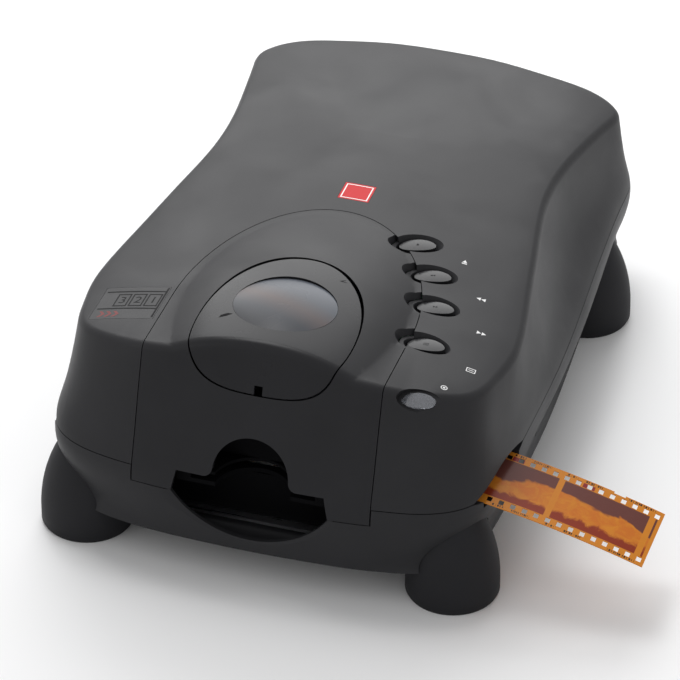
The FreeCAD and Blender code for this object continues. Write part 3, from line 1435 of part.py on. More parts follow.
def optics():
    """Bench above the film with the folding mirror, the lens and the line sensor."""
    low = "{frame_height} + {bench_gap}"
    plate = box("2 * {bench_half_width}", "{bench_rear_y} - {bench_front_y}", "{bench_thickness}",
                y="({bench_rear_y} + {bench_front_y}) / 2", z=low)
    window = box("2 * {gate_half_width}", "2 * {gate_half_length}", "3 * {bench_thickness}", y="{film_centre_y}",
                 z=low + " - {bench_thickness}")
    foot_low = "{chassis_height} + {chassis_thickness}"
    legs = [rod("{bench_post_radius}", low + " + {bench_thickness} - " + foot_low, x="%d * {bench_post_x}" % sign,
                y="{bench_post_y}", z=foot_low) for _, sign in SIDES]
    node("optics_bench", joined([without(plate, [window])] + legs))
    bench_top = s.frame_height + s.bench_gap + s.bench_thickness
    y, z = s.film_centre_y, s.optic_height
    half, side = s.mirror_half_width, s.mirror_side / 2
    mirror = block(-half, half, y - side, y + side, z, z + s.mirror_thickness)
    mirror.rotate(Vector(0, y, z), Vector(1, 0, 0), 45)
    shaped("folding_mirror", mirror)
    reach = side * math.sqrt(0.5) + s.mirror_thickness
    outer = half + s.fitting_gap + s.mirror_cheek
    cheeks = [block(x0, x1, y - reach, y + reach, bench_top, z + reach)
              for x0, x1 in ((-outer, -half - s.fitting_gap), (half + s.fitting_gap, outer))]
    back = block(-outer, outer, y - reach - s.mirror_cheek, y - reach, bench_top, z + reach)
    shaped("mirror_bracket", fused(cheeks + [back]).removeSplitter())
    front, rear, radius = s.barrel_front_y, s.barrel_rear_y, s.barrel_radius
    bore = radius - s.barrel_wall
    shaped("lens_barrel", lying(radius, 0, z, front, rear).cut(lying(bore, 0, z, front, rear)))
    glasses = []
    for y0, sign in ((front + s.barrel_wall, 1), (rear - s.barrel_wall, -1)):
        ball = Part.makeSphere(s.glass_radius, Vector(0, y0 + sign * s.glass_radius, z), Vector(0, 1, 0))
        y1 = y0 + sign * s.mirror_thickness * 2
        disc = lying(bore - s.shaft_gap, 0, z, min(y0, y1), max(y0, y1))
        glasses.append(largest(ball.common(disc)))
    shaped("lens_glasses", Part.makeCompound(glasses))
    mount_y, reach = s.mount_centre_y, s.mount_length / 2
    mount = block(-s.mount_half_width, s.mount_half_width, mount_y - reach, mount_y + reach,
                  bench_top, z + radius + s.mirror_thickness)
    shaped("lens_mount", mount.cut(lying(radius + s.shaft_gap, 0, z, -FAR, FAR)))
    board_y = s.sensor_board_y
    shaped("sensor_board", block(-s.sensor_board_half_width, s.sensor_board_half_width, board_y,
                                 board_y + s.board_thickness, bench_top, s.sensor_board_top_height))
    shaped("line_sensor", block(-s.sensor_half_width, s.sensor_half_width, board_y - s.sensor_thickness, board_y,
                                z - s.sensor_half_height, z + s.sensor_half_height))


def electronics():
    """Main board on its spacers, with chips and capacitors, and the two rear sockets."""
    low, top = s.main_board_height, fitting_low()
    half = s.main_board_half_width
    board = block(-half, half, s.main_board_front_y, s.main_board_rear_y, low, top)
    holes = [post(s.screw_radius + s.screw_gap, x, y, 0, TALL) for x, y in board_posts()]
    shaped("main_board", board.cut(holes))
    spacers = [post(s.spacer_radius, x, y, chassis_top(), low).cut(post(s.screw_radius + s.screw_gap, x, y, 0, TALL))
               for x, y in board_posts()]
    shaped("board_spacers", Part.makeCompound(spacers))
    side = s.chip_side
    middle = (s.main_board_front_y + s.main_board_rear_y) / 2
    chips = [block(x - side / 2, x + side / 2, y - side / 2, y + side / 2, top, top + s.chip_height)
             for x, y in ((-side, middle), (side / 2, middle - side), (side, middle + side))]
    cans = [post(s.capacitor_radius, sign * (half - side / 2), middle + side, top, top + s.capacitor_height)
            for sign in (-1, 1)]
    shaped("board_chips", Part.makeCompound(chips))
    shaped("board_capacitors", Part.makeCompound(cans))
    front, rear, wall = s.fitting_front_y, s.fitting_rear_y, s.port_wall
    x, half_w, height = s.port_x, s.port_width / 2, s.port_height
    shell = block(x - half_w, x + half_w, front, rear, top, top + height)
    mouth = block(x - half_w + wall, x + half_w - wall, (front + rear) / 2, FAR, top + wall, top + height - wall)
    tongue = block(x - half_w / 2, x + half_w / 2, (front + rear) / 2 - wall, rear - 2 * wall,
                   top + height / 3, top + 2 * height / 3)
    shaped("data_port", largest(shell.cut(mouth).fuse(tongue)))
    x, half_w, height = s.inlet_x, s.inlet_width / 2, s.inlet_height
    middle = top + height / 2
    body = block(x - half_w, x + half_w, front, rear, top, top + height)
    bore = lying(s.inlet_bore_radius, x, middle, (front + rear) / 2, FAR)
    pin = lying(s.inlet_pin_radius, x, middle, (front + rear) / 2 - wall, rear - 2 * wall)
    shaped("power_inlet", largest(body.cut(bore).fuse(pin)))


def power_switch():
    """Rocker switch in the rear wall: a framed housing and a rocker on a cross pin."""
    x, z = s.rocker_x, s.rocker_centre_height
    half_w, half_h = s.rocker_width / 2, s.rocker_height / 2
    bezel = s.rocker_bezel
    rear = s.rocker_rear_y
    pivot_y = rear - s.rocker_pivot_depth
    front = rear - s.rocker_housing_depth
    outer = block(x - half_w - bezel, x + half_w + bezel, front, rear, z - half_h - bezel, z + half_h + bezel)
    gap = s.fitting_gap
    well = block(x - half_w - gap, x + half_w + gap, pivot_y - s.rocker_pivot_depth, FAR,
                 z - half_h - gap, z + half_h + gap)
    lip = s.rocker_bezel / 2
    rim = block(x - half_w - bezel - lip, x + half_w + bezel + lip, rear + gap, rear + gap + s.rocker_bezel_proud,
                z - half_h - bezel - lip, z + half_h + bezel + lip)
    neck = block(x - half_w - bezel, x + half_w + bezel, rear, rear + gap, z - half_h - bezel, z + half_h + bezel)
    housing = fused([outer, neck, rim]).cut(well)
    shaped("power_switch_housing", largest(housing.cut(rocker_pin(s.shaft_gap, half_w + bezel))))
    drum = Part.makeCylinder(s.rocker_radius, 2 * half_w, Vector(x - half_w, pivot_y, z), Vector(1, 0, 0))
    inner = half_h - s.rocker_bezel / 2
    slab = block(x - half_w, x + half_w, pivot_y - s.rocker_pin_radius * 2, FAR, z - inner, z + inner)
    shaped("power_rocker", largest(drum.common(slab).fuse(rocker_pin(0, half_w + bezel / 2))))


def rocker_pin(grow, half):
    pivot_y = s.rocker_rear_y - s.rocker_pivot_depth
    return Part.makeCylinder(s.rocker_pin_radius + grow, 2 * half,
                             Vector(s.rocker_x - half, pivot_y, s.rocker_centre_height), Vector(1, 0, 0))


def cover_pin():
    """Hinge pin of the round cover."""
    return shaped("cover_hinge_pin", pin_rod(0, 0))


lower_casing()
upper_casing()
front_fascia()
round_cover()
cover_window()
cover_pin()
for name in KEYS:
    key(name)
key_board()
key_switches()
status_lens()
badge_plate()
film_label()
feet()
screws()
chassis()
film_guides()
slide_tray()
roller_frames()
rollers()
gears()
motor()
light_source()
optics()
electronics()
power_switch()
film_strip()

doc.recompute()
for obj in doc.Objects:
    if any(flag in obj.State for flag in ("Invalid", "Error")):
        raise RuntimeError("failed object: %s" % obj.Label)
for obj in nodes:
    if obj.Shape.isNull() or not obj.Shape.isValid():
        raise RuntimeError("bad shape: %s" % obj.Label)

os.makedirs("parts", exist_ok=True)
for obj in nodes:
    obj.Shape.exportStep(os.path.join("parts", obj.Label + ".step"))
    print(obj.Label, len(obj.Shape.Solids), round(obj.Shape.Volume, 1))
print("nodes", len(nodes))
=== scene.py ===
"""Scene of a desktop film scanner: casing, round hinged cover, oval keys, dome feet and a film strip."""
import json
import logging
import math
from dataclasses import dataclass, field
from enum import Enum

import bmesh
import bpy
from mathutils import Matrix, Vector
from mathutils.bvhtree import BVHTree

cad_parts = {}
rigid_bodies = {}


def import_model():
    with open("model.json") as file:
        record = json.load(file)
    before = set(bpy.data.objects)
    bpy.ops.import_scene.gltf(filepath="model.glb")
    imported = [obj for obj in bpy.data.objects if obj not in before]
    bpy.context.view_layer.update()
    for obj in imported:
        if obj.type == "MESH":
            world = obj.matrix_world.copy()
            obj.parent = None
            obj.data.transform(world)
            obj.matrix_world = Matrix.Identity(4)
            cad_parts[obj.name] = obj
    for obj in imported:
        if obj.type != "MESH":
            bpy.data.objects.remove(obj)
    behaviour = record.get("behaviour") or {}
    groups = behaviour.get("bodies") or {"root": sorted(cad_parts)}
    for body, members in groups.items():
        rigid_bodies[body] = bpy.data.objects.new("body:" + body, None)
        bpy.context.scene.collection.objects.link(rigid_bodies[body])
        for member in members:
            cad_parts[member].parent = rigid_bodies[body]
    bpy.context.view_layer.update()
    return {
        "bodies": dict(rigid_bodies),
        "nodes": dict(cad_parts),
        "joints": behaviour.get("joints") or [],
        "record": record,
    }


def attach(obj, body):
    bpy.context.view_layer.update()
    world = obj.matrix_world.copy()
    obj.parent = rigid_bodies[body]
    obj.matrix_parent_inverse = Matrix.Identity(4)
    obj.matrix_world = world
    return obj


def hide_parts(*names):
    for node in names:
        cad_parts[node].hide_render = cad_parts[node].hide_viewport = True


LOG = logging.getLogger("film_scanner")
MM = 0.001
WELD_DISTANCE = 0.002 * MM
SPECK_DISTANCE = 0.001 * MM
PRINT_LIFT = 0.03 * MM
KEY_PRINT_LIFT = 0.02 * MM
ABOVE_ALL = 0.3
Colour = tuple[float, float, float]
Place = tuple[float, float]


class Turn(Enum):
    """Which way the small triangles of a pictogram point."""

    LEFT = 180.0
    RIGHT = 0.0
    UP = 90.0


class Sheen(Enum):
    """How glossy a moulded surface is, as its plain roughness."""

    MATT = 0.62
    SATIN = 0.44
    SEMI_GLOSS = 0.30
    GLOSS = 0.14


# Shader helpers and shared groups


class Shader:
    """Adds and links nodes in one shader tree."""

    def __init__(self, tree: bpy.types.NodeTree) -> None:
        """Starts work in a tree.

        Args:
            tree: The node tree of a material, a world or a group.
        """
        self.tree = tree

    def add(self, kind: str, settings: dict[str, object] | None = None, **inputs: object) -> bpy.types.Node:
        """Adds a node, sets its properties, and sets or links its inputs.

        Args:
            kind: The node's type name without the ShaderNode prefix.
            settings: Properties of the node itself.
            inputs: Socket values, or output sockets to link; names use _ for spaces.

        Returns:
            The new node.
        """
        node = self.tree.nodes.new("ShaderNode" + kind)
        for name, value in (settings or {}).items():
            setattr(node, name, value)
        for name, value in inputs.items():
            key = int(name[3:]) if name.startswith("pin") else name.replace("_", " ")
            self.feed(node.inputs[key], value)
        return node

    def feed(self, socket: bpy.types.NodeSocket, value: object) -> None:
        """Links an output to a socket, or sets the socket's plain value.

        Args:
            socket: The input socket.
            value: An output socket, a number or a colour.
        """
        if isinstance(value, bpy.types.NodeSocket):
            self.tree.links.new(value, socket)
        elif socket.type == "RGBA":
            socket.default_value = (*value, 1.0)
        else:
            socket.default_value = value

    def maths(self, operation: str, first: object, second: object = 0.0,
              third: object = 0.0) -> bpy.types.NodeSocket:
        """A Math node's result.

        Args:
            operation: Blender's name of the operation.
            first: First operand, a number or a socket.
            second: Second operand.
            third: Third operand, such as the width of a soft compare.

        Returns:
            The output socket.
        """
        node = self.add("Math", {"operation": operation})
        for socket, value in zip(node.inputs, (first, second, third)):
            self.feed(socket, value)
        return node.outputs[0]

    def blend(self, factor: object, first: object, second: object) -> bpy.types.NodeSocket:
        """Mixes two colours.

        Args:
            factor: Share of the second colour.
            first: Colour at factor 0.
            second: Colour at factor 1.

        Returns:
            The colour socket.
        """
        node = self.add("Mix", {"data_type": "RGBA"})
        for index, value in ((0, factor), (6, first), (7, second)):
            self.feed(node.inputs[index], value)
        return node.outputs[2]

    def between(self, value: object, low: float, high: float) -> bpy.types.NodeSocket:
        """One where the value lies between two limits, else zero.

        Args:
            value: The value that is compared.
            low: Lower limit.
            high: Upper limit.

        Returns:
            The output socket.
        """
        above = self.maths("GREATER_THAN", value, low)
        return self.maths("MULTIPLY", above, self.maths("LESS_THAN", value, high))

    def object_axes(self) -> tuple[bpy.types.NodeSocket, bpy.types.NodeSocket, bpy.types.NodeSocket]:
        """Object coordinates as three separate sockets, in metres.

        Returns:
            The sockets of x, y and z.
        """
        spot = self.add("TexCoord").outputs["Object"]
        parts = self.add("SeparateXYZ", Vector=spot)
        return parts.outputs[0], parts.outputs[1], parts.outputs[2]


@dataclass
class SurfaceGroups:
    """Shared shader groups: moulded grain, handling smudges and brushed lines."""

    made: dict[str, bpy.types.NodeTree] = field(default_factory=dict)

    def start(self, name: str, inputs: dict[str, float],
              outputs: tuple[str, ...]) -> tuple[Shader, dict, dict]:
        """Makes an empty group with named number sockets.

        Args:
            name: Name of the group.
            inputs: Input names with their default values.
            outputs: Output names.

        Returns:
            The tree's helper, the sockets that bring inputs in, and those that take outputs.
        """
        tree = bpy.data.node_groups.new(name, "ShaderNodeTree")
        for socket, value in inputs.items():
            made = tree.interface.new_socket(name=socket, in_out="INPUT", socket_type="NodeSocketFloat")
            made.default_value = value
        for socket in outputs:
            tree.interface.new_socket(name=socket, in_out="OUTPUT", socket_type="NodeSocketFloat")
        entry = tree.nodes.new("NodeGroupInput")
        leave = tree.nodes.new("NodeGroupOutput")
        self.made[name] = tree
        return Shader(tree), {s.name: s for s in entry.outputs}, {s.name: s for s in leave.inputs}

    def build(self) -> None:
        """Makes all shared groups once."""
        shader, into, out = self.start("moulded_grain", {"Scale": 900.0, "Mottle": 60.0}, ("Height", "Shade"))
        spot = shader.add("TexCoord").outputs["Object"]
        fine = shader.add("TexNoise", Vector=spot, Scale=into["Scale"], Detail=3.0, Roughness=0.6)
        cells = shader.add("TexVoronoi", {"feature": "SMOOTH_F1"}, Vector=spot, Scale=into["Scale"])
        broad = shader.add("TexNoise", Vector=spot, Scale=into["Mottle"], Detail=4.0, Roughness=0.55)
        height = shader.maths("MULTIPLY_ADD", cells.outputs["Distance"], 0.6, fine.outputs[0])
        shader.feed(out["Height"], height)
        shader.feed(out["Shade"], broad.outputs[0])

        shader, into, out = self.start("handling_smudge", {"Scale": 22.0, "Low": 0.4, "High": 0.5},
                                       ("Roughness",))
        spot = shader.add("TexCoord").outputs["Object"]
        cloud = shader.add("TexNoise", Vector=spot, Scale=into["Scale"], Detail=5.0, Distortion=0.6)
        ramp = shader.add("MapRange", Value=cloud.outputs[0], From_Min=0.35, From_Max=0.7,
                          To_Min=into["Low"], To_Max=into["High"])
        shader.feed(out["Roughness"], ramp.outputs[0])

        shader, into, out = self.start("brushed_lines", {"Scale": 500.0, "Stretch": 0.04},
                                       ("Height", "Roughness"))
        spot = shader.add("TexCoord").outputs["Object"]
        flat = shader.add("CombineXYZ", X=into["Stretch"], Y=1.0, Z=1.0)
        laid = shader.add("VectorMath", {"operation": "MULTIPLY"}, pin0=spot, pin1=flat.outputs[0])
        lines = shader.add("TexNoise", Vector=laid.outputs[0], Scale=into["Scale"], Detail=2.0)
        shader.feed(out["Height"], lines.outputs[0])
        shader.feed(out["Roughness"], shader.maths("MULTIPLY_ADD", lines.outputs[0], 0.25, 0.18))

    def place(self, shader: Shader, name: str, **inputs: float) -> bpy.types.Node:
        """Puts a shared group into a material's tree.

        Args:
            shader: Helper of the material's tree.
            name: Name of the group.
            inputs: Values of the group's inputs.

        Returns:
            The group node.
        """
        node = shader.tree.nodes.new("ShaderNodeGroup")
        node.node_tree = self.made[name]
        for key, value in inputs.items():
            shader.feed(node.inputs[key], value)
        return node


GROUPS = SurfaceGroups()


def new_material(name: str) -> tuple[bpy.types.Material, Shader, bpy.types.Node]:
    """Makes a material that holds one Principled shader.

    Args:
        name: Name of the material.

    Returns:
        The material, the helper of its tree, and its Principled node.
    """
    material = bpy.data.materials.new(name)
    material.use_nodes = True
    shader = Shader(material.node_tree)
    principled = next(n for n in material.node_tree.nodes if n.type == "BSDF_PRINCIPLED")
    return material, shader, principled


@dataclass(frozen=True)
class Moulded:
    """A moulded plastic or rubber with fine grain, broad mottling and smudges."""

    name: str
    colour: Colour
    sheen: Sheen
    grain_scale: float = 1400.0
    grain_depth: float = 0.00002
    mottle_share: float = 0.22
    coat: float = 0.0
    specular: float = 0.17

    def material(self) -> bpy.types.Material:
        """Builds the material.

        Returns:
            The new material.
        """
        material, shader, body = new_material(self.name)
        grain = GROUPS.place(shader, "moulded_grain", Scale=self.grain_scale, Mottle=45.0)
        light = tuple(min(1.0, c * (1 + self.mottle_share)) for c in self.colour)
        dark = tuple(c * (1 - self.mottle_share) for c in self.colour)
        shader.feed(body.inputs["Base Color"], shader.blend(grain.outputs["Shade"], dark, light))
        rough = self.sheen.value
        smudge = GROUPS.place(shader, "handling_smudge", Low=rough - 0.04, High=rough + 0.05)
        shader.feed(body.inputs["Roughness"], smudge.outputs["Roughness"])
        bump = shader.add("Bump", Height=grain.outputs["Height"], Strength=0.5, Distance=self.grain_depth)
        shader.feed(body.inputs["Normal"], bump.outputs[0])
        body.distribution = "GGX"
        body.inputs["Specular IOR Level"].default_value = self.specular
        body.inputs["Coat Weight"].default_value = self.coat
        body.inputs["Coat Roughness"].default_value = 0.12
        return material


@dataclass(frozen=True)
class Metal:
    """A metal with brushed lines."""

    name: str
    colour: Colour
    scale: float = 700.0
    depth: float = 0.00001

    def material(self) -> bpy.types.Material:
        """Builds the material.

        Returns:
            The new material.
        """
        material, shader, body = new_material(self.name)
        lines = GROUPS.place(shader, "brushed_lines", Scale=self.scale)
        grain = GROUPS.place(shader, "moulded_grain", Scale=900.0, Mottle=30.0)
        dark = tuple(c * 0.82 for c in self.colour)
        shader.feed(body.inputs["Base Color"], shader.blend(grain.outputs["Shade"], dark, self.colour))
        shader.feed(body.inputs["Roughness"], lines.outputs["Roughness"])
        bump = shader.add("Bump", Height=lines.outputs["Height"], Strength=0.4, Distance=self.depth)
        shader.feed(body.inputs["Normal"], bump.outputs[0])
        body.inputs["Metallic"].default_value = 1.0
        return material


@dataclass(frozen=True)
class Clear:
    """A clear or smoked moulding with faint smudges."""

    name: str
    colour: Colour
    transmission: float
    rough: float = 0.06

    def material(self) -> bpy.types.Material:
        """Builds the material.

        Returns:
            The new material.
        """
        material, shader, body = new_material(self.name)
        smudge = GROUPS.place(shader, "handling_smudge", Low=self.rough, High=self.rough + 0.08)
        shader.feed(body.inputs["Roughness"], smudge.outputs["Roughness"])
        grain = GROUPS.place(shader, "moulded_grain", Scale=300.0, Mottle=25.0)
        dark = tuple(c * 0.85 for c in self.colour)
        shader.feed(body.inputs["Base Color"], shader.blend(grain.outputs["Shade"], dark, self.colour))
        body.inputs["Transmission Weight"].default_value = self.transmission
        body.inputs["IOR"].default_value = 1.49
        return material


@dataclass(frozen=True)
class Window:
    """Smoked oval window with painted light: a grey painted light towards the rear and a narrow reddish band
    of painted reflection.
    """

    name: str = "smoked_window"
    dark: Colour = (0.055, 0.056, 0.060)
    # Grey of the painted light and red of the painted reflection; only the dark colour is the window's own.
    painted_light_grey: Colour = (0.105, 0.115, 0.135)
    painted_reflection_red: Colour = (0.140, 0.095, 0.080)

    def material(self) -> bpy.types.Material:
        """Builds the material.

        Returns:
            The new material.
        """
        material, shader, body = new_material(self.name)
        across, along, _ = shader.object_axes()
        # Painted light: the window turns from its dark colour to a grey painted light towards the rear.
        slant = shader.maths("MULTIPLY_ADD", across, 0.35, along)
        ramp = shader.add("MapRange", Value=slant, From_Min=-0.103, From_Max=-0.064)
        painted_light_colour = shader.blend(ramp.outputs[0], self.dark, self.painted_light_grey)
        # Painted reflection: a narrow reddish band across the window, mottled by the grain.
        painted_reflection_offset = shader.maths("ABSOLUTE", shader.maths("ADD", slant, 0.083))
        painted_reflection_mask = shader.add("MapRange", Value=painted_reflection_offset, From_Min=0.0, From_Max=0.008, To_Min=0.8, To_Max=0.0)
        grain = GROUPS.place(shader, "moulded_grain", Scale=200.0, Mottle=18.0)
        share = shader.maths("MULTIPLY", painted_reflection_mask.outputs[0], grain.outputs["Shade"])
        shader.feed(body.inputs["Base Color"], shader.blend(share, painted_light_colour, self.painted_reflection_red))
        smudge = GROUPS.place(shader, "handling_smudge", Low=0.26, High=0.34)
        shader.feed(body.inputs["Roughness"], smudge.outputs["Roughness"])
        body.inputs["Specular IOR Level"].default_value = 0.13
        return material


@dataclass(frozen=True)
class BadgeFinish:
    """Plain red plate with a thin pale border line."""

    name: str = "badge_red"
    red: Colour = (0.62, 0.030, 0.035)
    pale: Colour = (0.86, 0.84, 0.83)
    centre: Place = (0.0, 0.0094)
    half: Place = (0.0064, 0.0057)

    def material(self) -> bpy.types.Material:
        """Builds the material.

        Returns:
            The new material.
        """
        material, shader, body = new_material(self.name)
        across, along, _ = shader.object_axes()
        near_x = shader.maths("ABSOLUTE", shader.maths("SUBTRACT", across, self.centre[0]))
        near_y = shader.maths("ABSOLUTE", shader.maths("SUBTRACT", along, self.centre[1]))
        edge = shader.maths("MAXIMUM", shader.maths("DIVIDE", near_x, self.half[0]),
                            shader.maths("DIVIDE", near_y, self.half[1]))
        line = shader.between(edge, 0.80, 0.88)
        grain = GROUPS.place(shader, "moulded_grain", Scale=600.0, Mottle=120.0)
        deep = tuple(c * 0.8 for c in self.red)
        base = shader.blend(grain.outputs["Shade"], deep, self.red)
        shader.feed(body.inputs["Base Color"], shader.blend(line, base, self.pale))
        smudge = GROUPS.place(shader, "handling_smudge", Low=0.40, High=0.50)
        shader.feed(body.inputs["Roughness"], smudge.outputs["Roughness"])
        body.inputs["Specular IOR Level"].default_value = 0.1
        return material


@dataclass(frozen=True)
class FilmFinish:
    """Processed colour negative: orange base, framed pictures, edge ticks and small red squares."""

    name: str = "film_negative"
    base: Colour = (0.58, 0.205, 0.020)
    sky: Colour = (0.125, 0.040, 0.032)
    land: Colour = (0.54, 0.150, 0.018)
    ground: Colour = (0.235, 0.030, 0.010)
    ink: Colour = (0.030, 0.012, 0.008)
    code: Colour = (0.230, 0.020, 0.022)
    middle_y: float = -0.088
    half_picture: float = 0.0122
    gap_x: float = 0.1110
    frame_pitch: float = 0.0365
    half_gap: float = 0.0012

    def material(self) -> bpy.types.Material:
        """Builds the material.

        Returns:
            The new material.
        """
        material, shader, body = new_material(self.name)
        across, along, _ = shader.object_axes()
        up = shader.maths("SUBTRACT", along, self.middle_y)
        picture = shader.maths("LESS_THAN", shader.maths("ABSOLUTE", up), self.half_picture)
        step = shader.maths("DIVIDE", shader.maths("SUBTRACT", across, self.gap_x), self.frame_pitch)
        away = shader.maths("PINGPONG", step, 0.5)
        inside = shader.maths("GREATER_THAN", away, self.half_gap / self.frame_pitch)
        tip = shader.maths("LESS_THAN", across, 0.1495)
        shown = shader.maths("MULTIPLY", shader.maths("MULTIPLY", picture, inside), tip)
        spot = shader.add("TexCoord").outputs["Object"]
        hills = shader.add("TexNoise", Vector=spot, Scale=42.0, Detail=4.0, Roughness=0.5, Distortion=0.3)
        rise = shader.maths("MULTIPLY_ADD", hills.outputs[0], 0.026, -0.0125)
        skyline = shader.maths("SUBTRACT", up, rise)
        sky = shader.add("MapRange", Value=skyline, From_Min=0.0022, From_Max=0.0034)
        trees = shader.add("TexNoise", Vector=spot, Scale=210.0, Detail=6.0, Roughness=0.65, Distortion=0.8)
        leaf = shader.add("MapRange", Value=trees.outputs[0], From_Min=0.42, From_Max=0.62)
        lit = shader.blend(leaf.outputs[0], self.land, self.base)
        low = shader.add("MapRange", Value=shader.maths("MULTIPLY_ADD", trees.outputs[0], 0.010, up),
                         From_Min=-0.0035, From_Max=-0.0015, To_Min=1.0, To_Max=0.0)
        view = shader.blend(low.outputs[0], lit, self.ground)
        view = shader.blend(sky.outputs[0], view, self.sky)
        ticks = shader.add("TexNoise", {"noise_dimensions": "1D"}, W=across, Scale=1500.0, Detail=0.0)
        runs = shader.add("TexNoise", {"noise_dimensions": "1D"}, W=across, Scale=95.0, Detail=0.0)
        edge = shader.between(shader.maths("ABSOLUTE", up), 0.0158, 0.0170)
        mark = shader.maths("MULTIPLY", shader.maths("GREATER_THAN", ticks.outputs[0], 0.5),
                            shader.maths("GREATER_THAN", runs.outputs[0], 0.49))
        inked = shader.maths("MULTIPLY", mark, edge)
        cell = shader.maths("DIVIDE", across, 0.00475)
        column = shader.add("TexWhiteNoise", {"noise_dimensions": "1D"}, W=shader.maths("FLOOR", cell))
        red = shader.maths("MULTIPLY", shader.between(up, 0.0126, 0.0152),
                           shader.maths("GREATER_THAN", column.outputs["Value"], 0.72))
        colour = shader.blend(shown, self.base, view)
        colour = shader.blend(red, colour, self.code)
        colour = shader.blend(inked, colour, self.ink)
        grain = GROUPS.place(shader, "moulded_grain", Scale=2500.0, Mottle=400.0)
        deep = shader.blend(0.12, colour, self.ink)
        shader.feed(body.inputs["Base Color"], shader.blend(grain.outputs["Shade"], deep, colour))
        smudge = GROUPS.place(shader, "handling_smudge", Low=0.26, High=0.34)
        shader.feed(body.inputs["Roughness"], smudge.outputs["Roughness"])
        body.inputs["Specular IOR Level"].default_value = 0.08
        return material


@dataclass(frozen=True)
class BoardFinish:
    """Green circuit board with fine copper tracks under its coating."""

    name: str = "board_green"
    green: Colour = (0.010, 0.110, 0.045)
    track: Colour = (0.030, 0.230, 0.080)

    def material(self) -> bpy.types.Material:
        """Builds the material.

        Returns:
            The new material.
        """
        material, shader, body = new_material(self.name)
        spot = shader.add("TexCoord").outputs["Object"]
        bricks = shader.add("TexBrick", Vector=spot, Scale=160.0, Mortar_Size=0.03)
        shader.feed(body.inputs["Base Color"], shader.blend(bricks.outputs["Fac"], self.green, self.track))
        smudge = GROUPS.place(shader, "handling_smudge", Low=0.25, High=0.35)
        shader.feed(body.inputs["Roughness"], smudge.outputs["Roughness"])
        bump = shader.add("Bump", Height=bricks.outputs["Fac"], Strength=0.3, Distance=0.00003)
        shader.feed(body.inputs["Normal"], bump.outputs[0])
        return material


Finish = Moulded | Metal | Clear | Window | BadgeFinish | FilmFinish | BoardFinish

CHARCOAL = Moulded("casing_charcoal", (0.020, 0.020, 0.022), Sheen.SATIN)
FASCIA = Moulded("fascia_charcoal", (0.016, 0.016, 0.018), Sheen.SATIN, grain_depth=0.00001)
COVER = Moulded("cover_charcoal", (0.014, 0.014, 0.016), Sheen.SEMI_GLOSS, grain_depth=0.000004)
KEY_BLACK = Moulded("key_black", (0.018, 0.018, 0.020), Sheen.SEMI_GLOSS, grain_depth=0.000003, coat=0.1)
RUBBER = Moulded("foot_rubber", (0.014, 0.014, 0.016), Sheen.MATT, grain_scale=900.0, grain_depth=0.00004)
INNER_BLACK = Moulded("inner_black", (0.004, 0.004, 0.0045), Sheen.MATT, specular=0.02)
WHITE_PRINT = Moulded("white_print", (0.80, 0.80, 0.80), Sheen.SATIN, mottle_share=0.05)
GREY_PRINT = Moulded("grey_print", (0.010, 0.010, 0.011), Sheen.MATT, mottle_share=0.10, specular=0.1)
DARK_PRINT = Moulded("dark_print", (0.004, 0.004, 0.005), Sheen.MATT, mottle_share=0.10, specular=0.05)
RED_PRINT = Moulded("red_print", (0.15, 0.022, 0.022), Sheen.SATIN, mottle_share=0.10)
LABEL_GREY = Moulded("label_grey", (0.034, 0.034, 0.036), Sheen.SATIN, grain_depth=0.000004)

SLOT_FINISHES = {
    "charcoal_shell": CHARCOAL,
    "gloss_shell": FASCIA,
    "smoked_window": Window(),
    "key_plastic": KEY_BLACK,
    "clear_lens": Clear("clear_lens", (0.55, 0.57, 0.62), 0.75),
    "red_badge": BadgeFinish(),
    "dark_label": LABEL_GREY,
    "foot_rubber": RUBBER,
    "tyre_rubber": Moulded("tyre_rubber", (0.020, 0.020, 0.021), Sheen.MATT, grain_scale=700.0,
                           grain_depth=0.00006),
    "film_base": FilmFinish(),
    "steel": Metal("plated_steel", (0.60, 0.61, 0.63)),
    "screw_steel": Metal("blackened_steel", (0.16, 0.16, 0.165)),
    "gear_plastic": Moulded("gear_natural", (0.62, 0.60, 0.53), Sheen.SATIN, mottle_share=0.06),
    "inner_plastic": INNER_BLACK,
    "light_box_white": Moulded("light_box_white", (0.78, 0.78, 0.77), Sheen.MATT, mottle_share=0.04),
    "diffuser_white": Moulded("diffuser_opal", (0.84, 0.85, 0.84), Sheen.SATIN, mottle_share=0.03),
    "board_green": BoardFinish(),
    "chip_black": Moulded("chip_black", (0.022, 0.022, 0.024), Sheen.SATIN),
    "lamp_white": Moulded("lamp_white", (0.85, 0.84, 0.74), Sheen.GLOSS, mottle_share=0.03),
    "can_blue": Moulded("can_sleeve", (0.030, 0.045, 0.110), Sheen.SEMI_GLOSS),
    "motor_steel": Metal("motor_black_steel", (0.10, 0.10, 0.105)),
    "mirror_face": Metal("mirror_face", (0.90, 0.91, 0.92), scale=60.0, depth=0.0000005),
    "port_shell": Metal("port_plating", (0.68, 0.69, 0.71)),
    "switch_black": Moulded("switch_black", (0.016, 0.016, 0.018), Sheen.SEMI_GLOSS, grain_depth=0.000004),
}


# Mesh helpers


